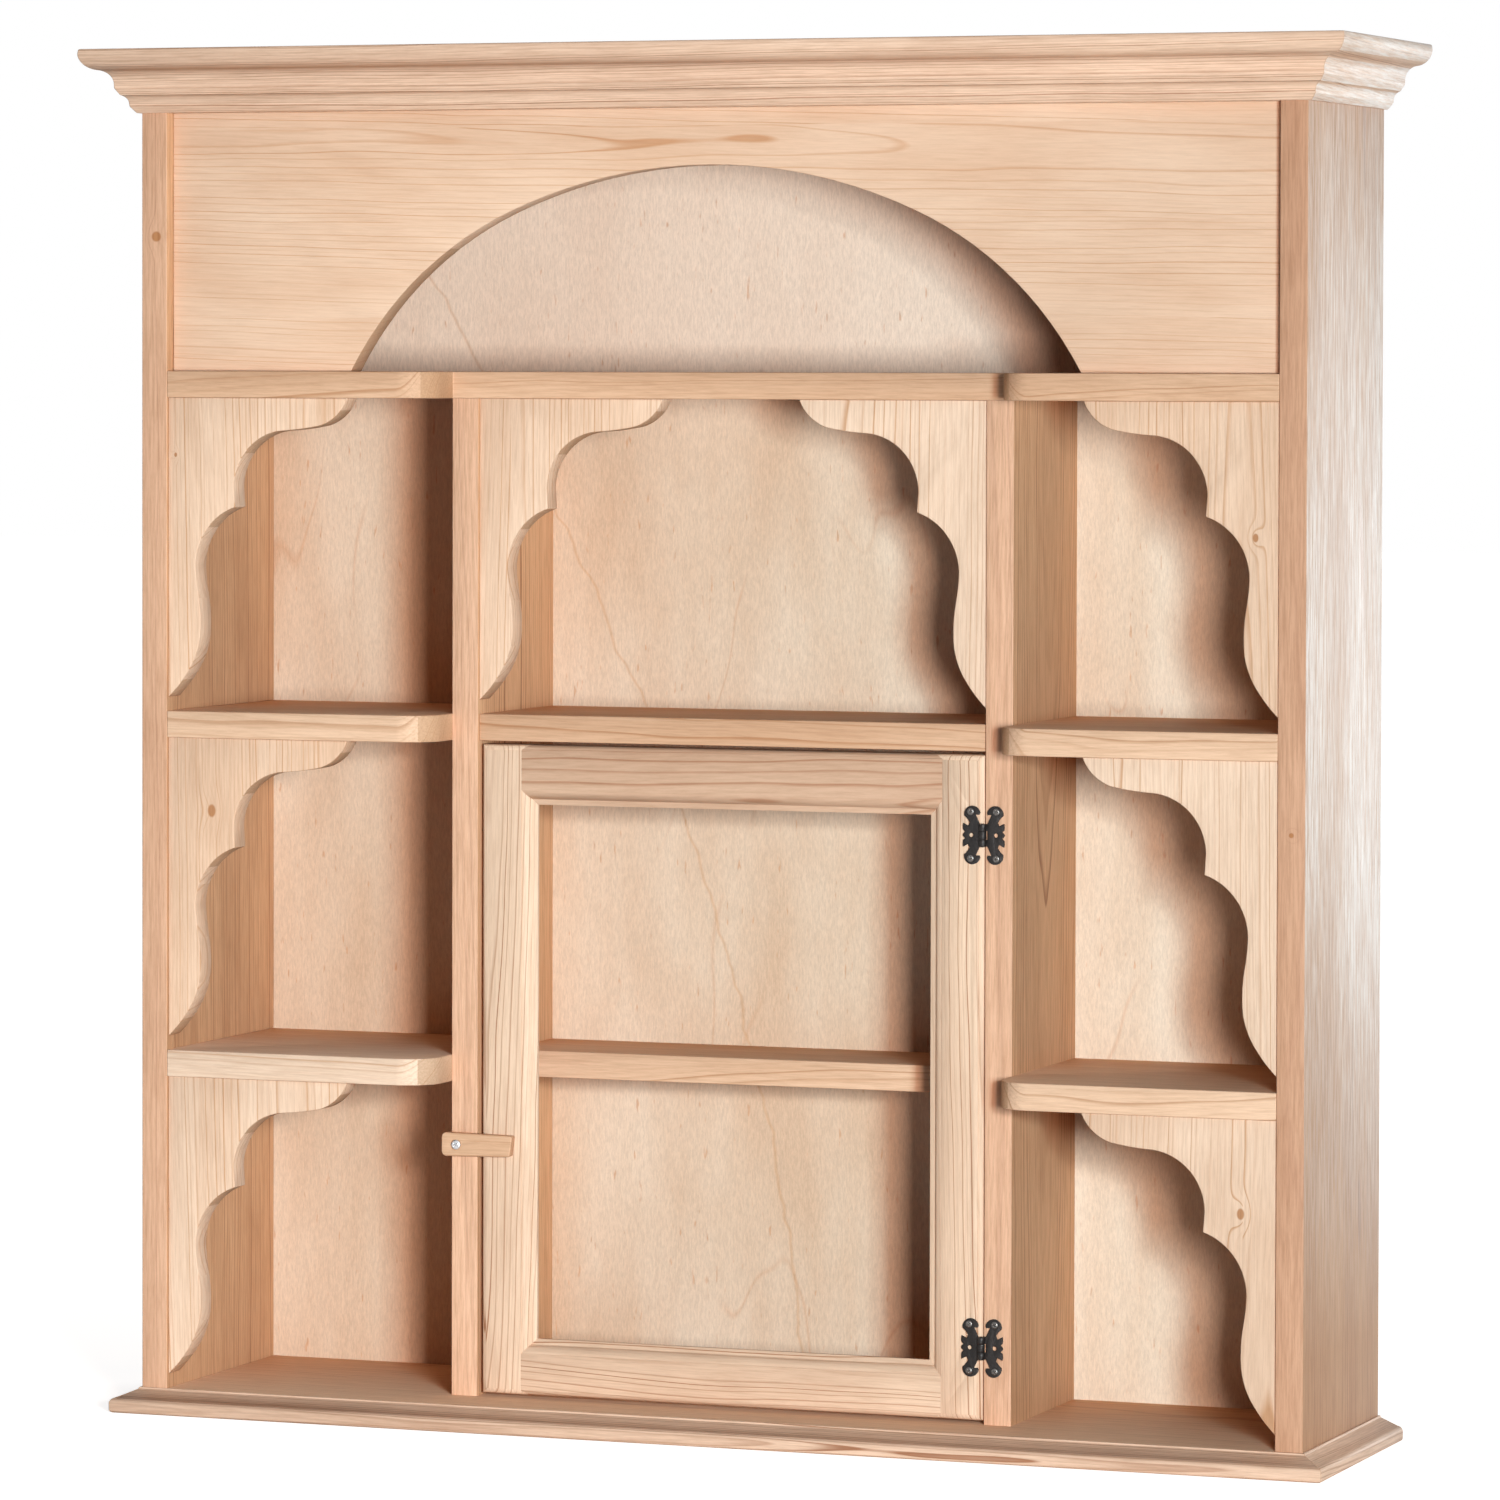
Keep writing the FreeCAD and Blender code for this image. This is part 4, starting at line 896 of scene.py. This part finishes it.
def screw_mesh():
    """A screw of head radius one with its axis toward the front, on its seat at the origin."""
    shape = bmesh.new()
    rings = []
    for ring in range(1, HEAD_RINGS + 1):
        radius = ring / HEAD_RINGS
        angles = [2 * math.pi * spoke / HEAD_SPOKES for spoke in range(HEAD_SPOKES)]
        spots = [(radius * math.cos(a), radius * math.sin(a)) for a in angles]
        rings.append([shape.verts.new((x, -head_height(x, y), y)) for x, y in spots])
    for radius, depth in UNDERSIDE:
        rings.append([shape.verts.new((v.co.x * radius, depth, v.co.z * radius))
                      for v in rings[HEAD_RINGS - 1]])
    top = shape.verts.new((0, -head_height(0, 0), 0))
    tip = shape.verts.new((0, TIP, 0))
    for spoke in range(HEAD_SPOKES):
        other = (spoke + 1) % HEAD_SPOKES
        shape.faces.new((top, rings[0][spoke], rings[0][other]))
        for inner, outer in zip(rings, rings[1:]):
            shape.faces.new((inner[spoke], outer[spoke], outer[other], inner[other]))
        shape.faces.new((tip, rings[-1][other], rings[-1][spoke]))
    bmesh.ops.recalc_face_normals(shape, faces=shape.faces)
    for face in shape.faces:
        face.smooth = True
    mesh = bpy.data.meshes.new("screw_head")
    shape.to_mesh(mesh)
    shape.free()
    return mesh


screw = bpy.data.objects.new("screw_pattern", screw_mesh())
print("screw faces", len(screw.data.polygons))

# %% [markdown]
# ### A tree that sets screws
#
# The tree takes the seats as points, the screw to repeat, its size, its finish and a seed. The
# instances are made real at the end, because the export keeps only real geometry.

# %% Geometry Nodes that set the screws
SOCKETS = {"Seats": "NodeSocketGeometry", "Screw": "NodeSocketObject",
           "Head radius": "NodeSocketFloat", "Finish": "NodeSocketMaterial",
           "Seed": "NodeSocketInt"}


def screw_tree():
    """Instances of one screw on every point, each turned by its own random angle."""
    tree = bpy.data.node_groups.new("set_screws", "GeometryNodeTree")
    for name, kind in SOCKETS.items():
        tree.interface.new_socket(name, in_out="INPUT", socket_type=kind)
    tree.interface.new_socket("Screws", in_out="OUTPUT", socket_type="NodeSocketGeometry")
    given = add(tree, "NodeGroupInput").outputs
    angle = add(tree, "FunctionNodeRandomValue",
                {"Min": 0.0, "Max": math.pi, "Seed": given["Seed"]}, data_type="FLOAT")
    turn = add(tree, "ShaderNodeCombineXYZ", {"Y": angle})
    pattern = add(tree, "GeometryNodeObjectInfo", {"Object": given["Screw"]})
    heads = add(tree, "GeometryNodeInstanceOnPoints",
                {"Points": given["Seats"], "Instance": pattern.outputs["Geometry"],
                 "Rotation": turn, "Scale": given["Head radius"]})
    real = add(tree, "GeometryNodeRealizeInstances", {"Geometry": heads})
    finished = add(tree, "GeometryNodeSetMaterial",
                   {"Geometry": real, "Material": given["Finish"]})
    add(tree, "NodeGroupOutput", {"Screws": finished})
    return tree


def give(modifier, **values):
    """Set a modifier's inputs by the names that they have in its tree."""
    for item in modifier.node_group.interface.items_tree:
        key = item.name.replace(" ", "_").lower()
        if item.in_out == "INPUT" and key in values:
            modifier[item.identifier] = values[key]


tree = screw_tree()
print("tree inputs", list(SOCKETS))

# %% [markdown]
# ### Seats
#
# The CAD node of a row of screws is one mesh with several solids in it. Walking from point to
# point along the edges finds each solid, and its box gives the screw's seat and head radius.

# %% Find the solids in a node
def islands(node):
    """The boxes of the separate solids in a CAD node."""
    shape = bmesh.new()
    shape.from_mesh(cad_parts[node].data)
    bmesh.ops.remove_doubles(shape, verts=shape.verts, dist=WELD)
    left, boxes = set(shape.verts), []
    while left:
        group, edge = set(), {left.pop()}
        while edge:
            vertex = edge.pop()
            group.add(vertex)
            edge |= {e.other_vert(vertex) for e in vertex.link_edges} - group
        left -= group
        spots = [v.co for v in group]
        boxes.append((Vector(map(min, zip(*spots))), Vector(map(max, zip(*spots)))))
    shape.free()
    return sorted(boxes, key=lambda box: tuple(box[0]))


# %% Set the screws
for seed, (node, body, finish) in enumerate((("hinge_screws_door", "door", "dark_zinc"),
                                             ("hinge_screws_frame", "cabinet", "dark_zinc"),
                                             ("latch_screw", "cabinet", "zinc"))):
    boxes = islands(node)
    radius = (boxes[0][1].x - boxes[0][0].x) / 2
    dome = DOME * radius
    seats = [((low.x + high.x) / 2, low.y + dome, (low.z + high.z) / 2) for low, high in boxes]
    mesh = bpy.data.meshes.new(node + "_seats")
    mesh.from_pydata(seats, [], [])
    piece = bpy.data.objects.new(node + "_cross_head", mesh)
    bpy.context.scene.collection.objects.link(piece)
    setter = piece.modifiers.new("set screws", "NODES")
    setter.node_group = tree
    give(setter, screw=screw, head_radius=radius, finish=MATERIALS[finish], seed=seed)
    dress(plain(piece), finish, body, node)
    print(node, "screws", len(seats), "head radius", round(radius / MM, 2), "mm")
bpy.data.objects.remove(screw)

# %% [markdown]
# ## The studio
#
# A plain pale floor and a white surround. The white is for the camera and for glosses alone, and
# doesn't light the wood. Close by, the floor shows the cabinet's shadow. Farther off it melts into
# the surround.

# %% Floor
FLOOR_HALF = 30
SHADOW_WITHIN, WHITE_BEYOND = 0.7, 1.8
# With nothing linked, this noise runs over the whole floor, so near the cabinet it is all but even.
TINT_REPEATS = 2.5


def seen(tree):
    """1 where the camera looks, also by way of a gloss, and 0 for light on its way to the wood."""
    path = add(tree, "ShaderNodeLightPath")
    direct = add(tree, "ShaderNodeMath",
                 {0: path.outputs["Is Camera Ray"], 1: path.outputs["Is Glossy Ray"]},
                 operation="MAXIMUM")
    return add(tree, "ShaderNodeMath", {0: direct, 1: path.outputs["Is Transmission Ray"]},
               operation="MAXIMUM")


def studio_floor():
    """A pale floor, white to the camera, that keeps the cabinet's shadow."""
    material, tree = new_material("studio_floor")
    grain = add(tree, "ShaderNodeTexNoise", {"Scale": TINT_REPEATS, "Detail": 1.0})
    tint = add(tree, "ShaderNodeMix",
               {"Factor": grain.outputs[0], "A": linear("#e9e9e9"), "B": linear("#ededec")},
               data_type="RGBA")
    body = add(tree, "ShaderNodeBsdfDiffuse", {"Color": tint})
    place = add(tree, "ShaderNodeTexCoord").outputs["Object"]
    away = add(tree, "ShaderNodeVectorMath", {0: place}, operation="LENGTH").outputs["Value"]
    level = add(tree, "ShaderNodeMapRange",
                {"Value": away, "From Min": SHADOW_WITHIN, "From Max": WHITE_BEYOND,
                 "To Min": 0.88, "To Max": 1.0})
    glow = add(tree, "ShaderNodeEmission", {"Color": (1, 1, 1, 1), "Strength": level})
    lit = add(tree, "ShaderNodeAddShader", {0: body, 1: glow})
    show(tree, add(tree, "ShaderNodeMixShader", {"Fac": seen(tree), 1: body, 2: lit}))
    return material


shape = bmesh.new()
bmesh.ops.create_grid(shape, x_segments=1, y_segments=1, size=FLOOR_HALF)
floor_mesh = bpy.data.meshes.new("floor")
shape.to_mesh(floor_mesh)
shape.free()
floor = bpy.data.objects.new("floor", floor_mesh)
floor.data.materials.append(studio_floor())
bpy.context.scene.collection.objects.link(floor)
print("floor", 2 * FLOOR_HALF, "m wide")

# %% Surround
WORLD_LIGHT = 0.022

world = bpy.data.worlds.new("studio")
bpy.context.scene.world = world
world.use_nodes = True
tree = world.node_tree
tree.nodes.clear()
white = seen(tree)
level = add(tree, "ShaderNodeMapRange", {"Value": white, "To Min": WORLD_LIGHT, "To Max": 1.0})
tint = add(tree, "ShaderNodeMix", {"Factor": white, "A": linear("#ffc9a4"),
                                  "B": (1, 1, 1, 1)}, data_type="RGBA")
sky = add(tree, "ShaderNodeBackground", {"Color": tint, "Strength": level})
add(tree, "ShaderNodeOutputWorld", {"Surface": sky})
print("light from the surround", WORLD_LIGHT)

# %% [markdown]
# ### Lamps
#
# The key light comes low from the right of the camera. It is two soft boxes side by side, turned
# away so that the light is even: one cool and one warm, which together are white and leave the
# half shadows in the bays warm. A small lamp over them draws the crisp edge in those shadows. A
# soft box behind on the right lights the outer side.

# %% Lights
MIDDLE = Vector((0, 0, 0.62))


def lamp(name, azimuth, elevation, distance, wide, high, level, tint=(1, 1, 1), aim_left=0.0):
    """A soft box that gives a surface facing it this level of light, 1 being white."""
    data = bpy.data.lights.new(name, "AREA")
    data.color = tint
    data.shape = "RECTANGLE"
    data.size = wide
    data.size_y = high
    data.energy = level * math.pi * math.pi
    data.use_nodes = True
    data.node_tree.nodes.clear()
    # Without falloff the light is as even over the width as a far larger studio would make it.
    even = add(data.node_tree, "ShaderNodeLightFalloff", {"Strength": 1.0, "Smooth": 0.0})
    glow = add(data.node_tree, "ShaderNodeEmission", {"Strength": even.outputs["Constant"]})
    add(data.node_tree, "ShaderNodeOutputLight", {"Surface": glow})
    light = bpy.data.objects.new(name, data)
    turn, lift = math.radians(azimuth), math.radians(elevation)
    way = Vector((math.sin(turn) * math.cos(lift), -math.cos(turn) * math.cos(lift),
                  math.sin(lift)))
    light.location = MIDDLE + way * distance
    light.rotation_mode = "QUATERNION"
    aim = MIDDLE - Vector((aim_left, 0, 0))
    light.rotation_quaternion = (aim - light.location).to_track_quat("-Z", "Y")
    bpy.context.scene.collection.objects.link(light)


lamp("key outer", 34.3, 2.2, 4.3, 0.5, 0.75, 0.65, tint=(0.75, 1.11, 1.25), aim_left=5.4)
lamp("key inner", 28.5, 2.2, 4.3, 0.5, 0.75, 0.59, tint=(1.28, 0.88, 0.72), aim_left=5.4)
lamp("second", 32, 6.7, 7.5, 0.3, 0.3, 0.15, aim_left=2.0)
lamp("rim", 150, 2, 4.0, 1.5, 0.9, 0.52)

# %% [markdown]
# ## Finish
#
# Every piece has said what it rides on. The view is the standard one, so a colour shows as it is
# written.

# %% Finish
bpy.context.scene.view_settings.view_transform = "Standard"
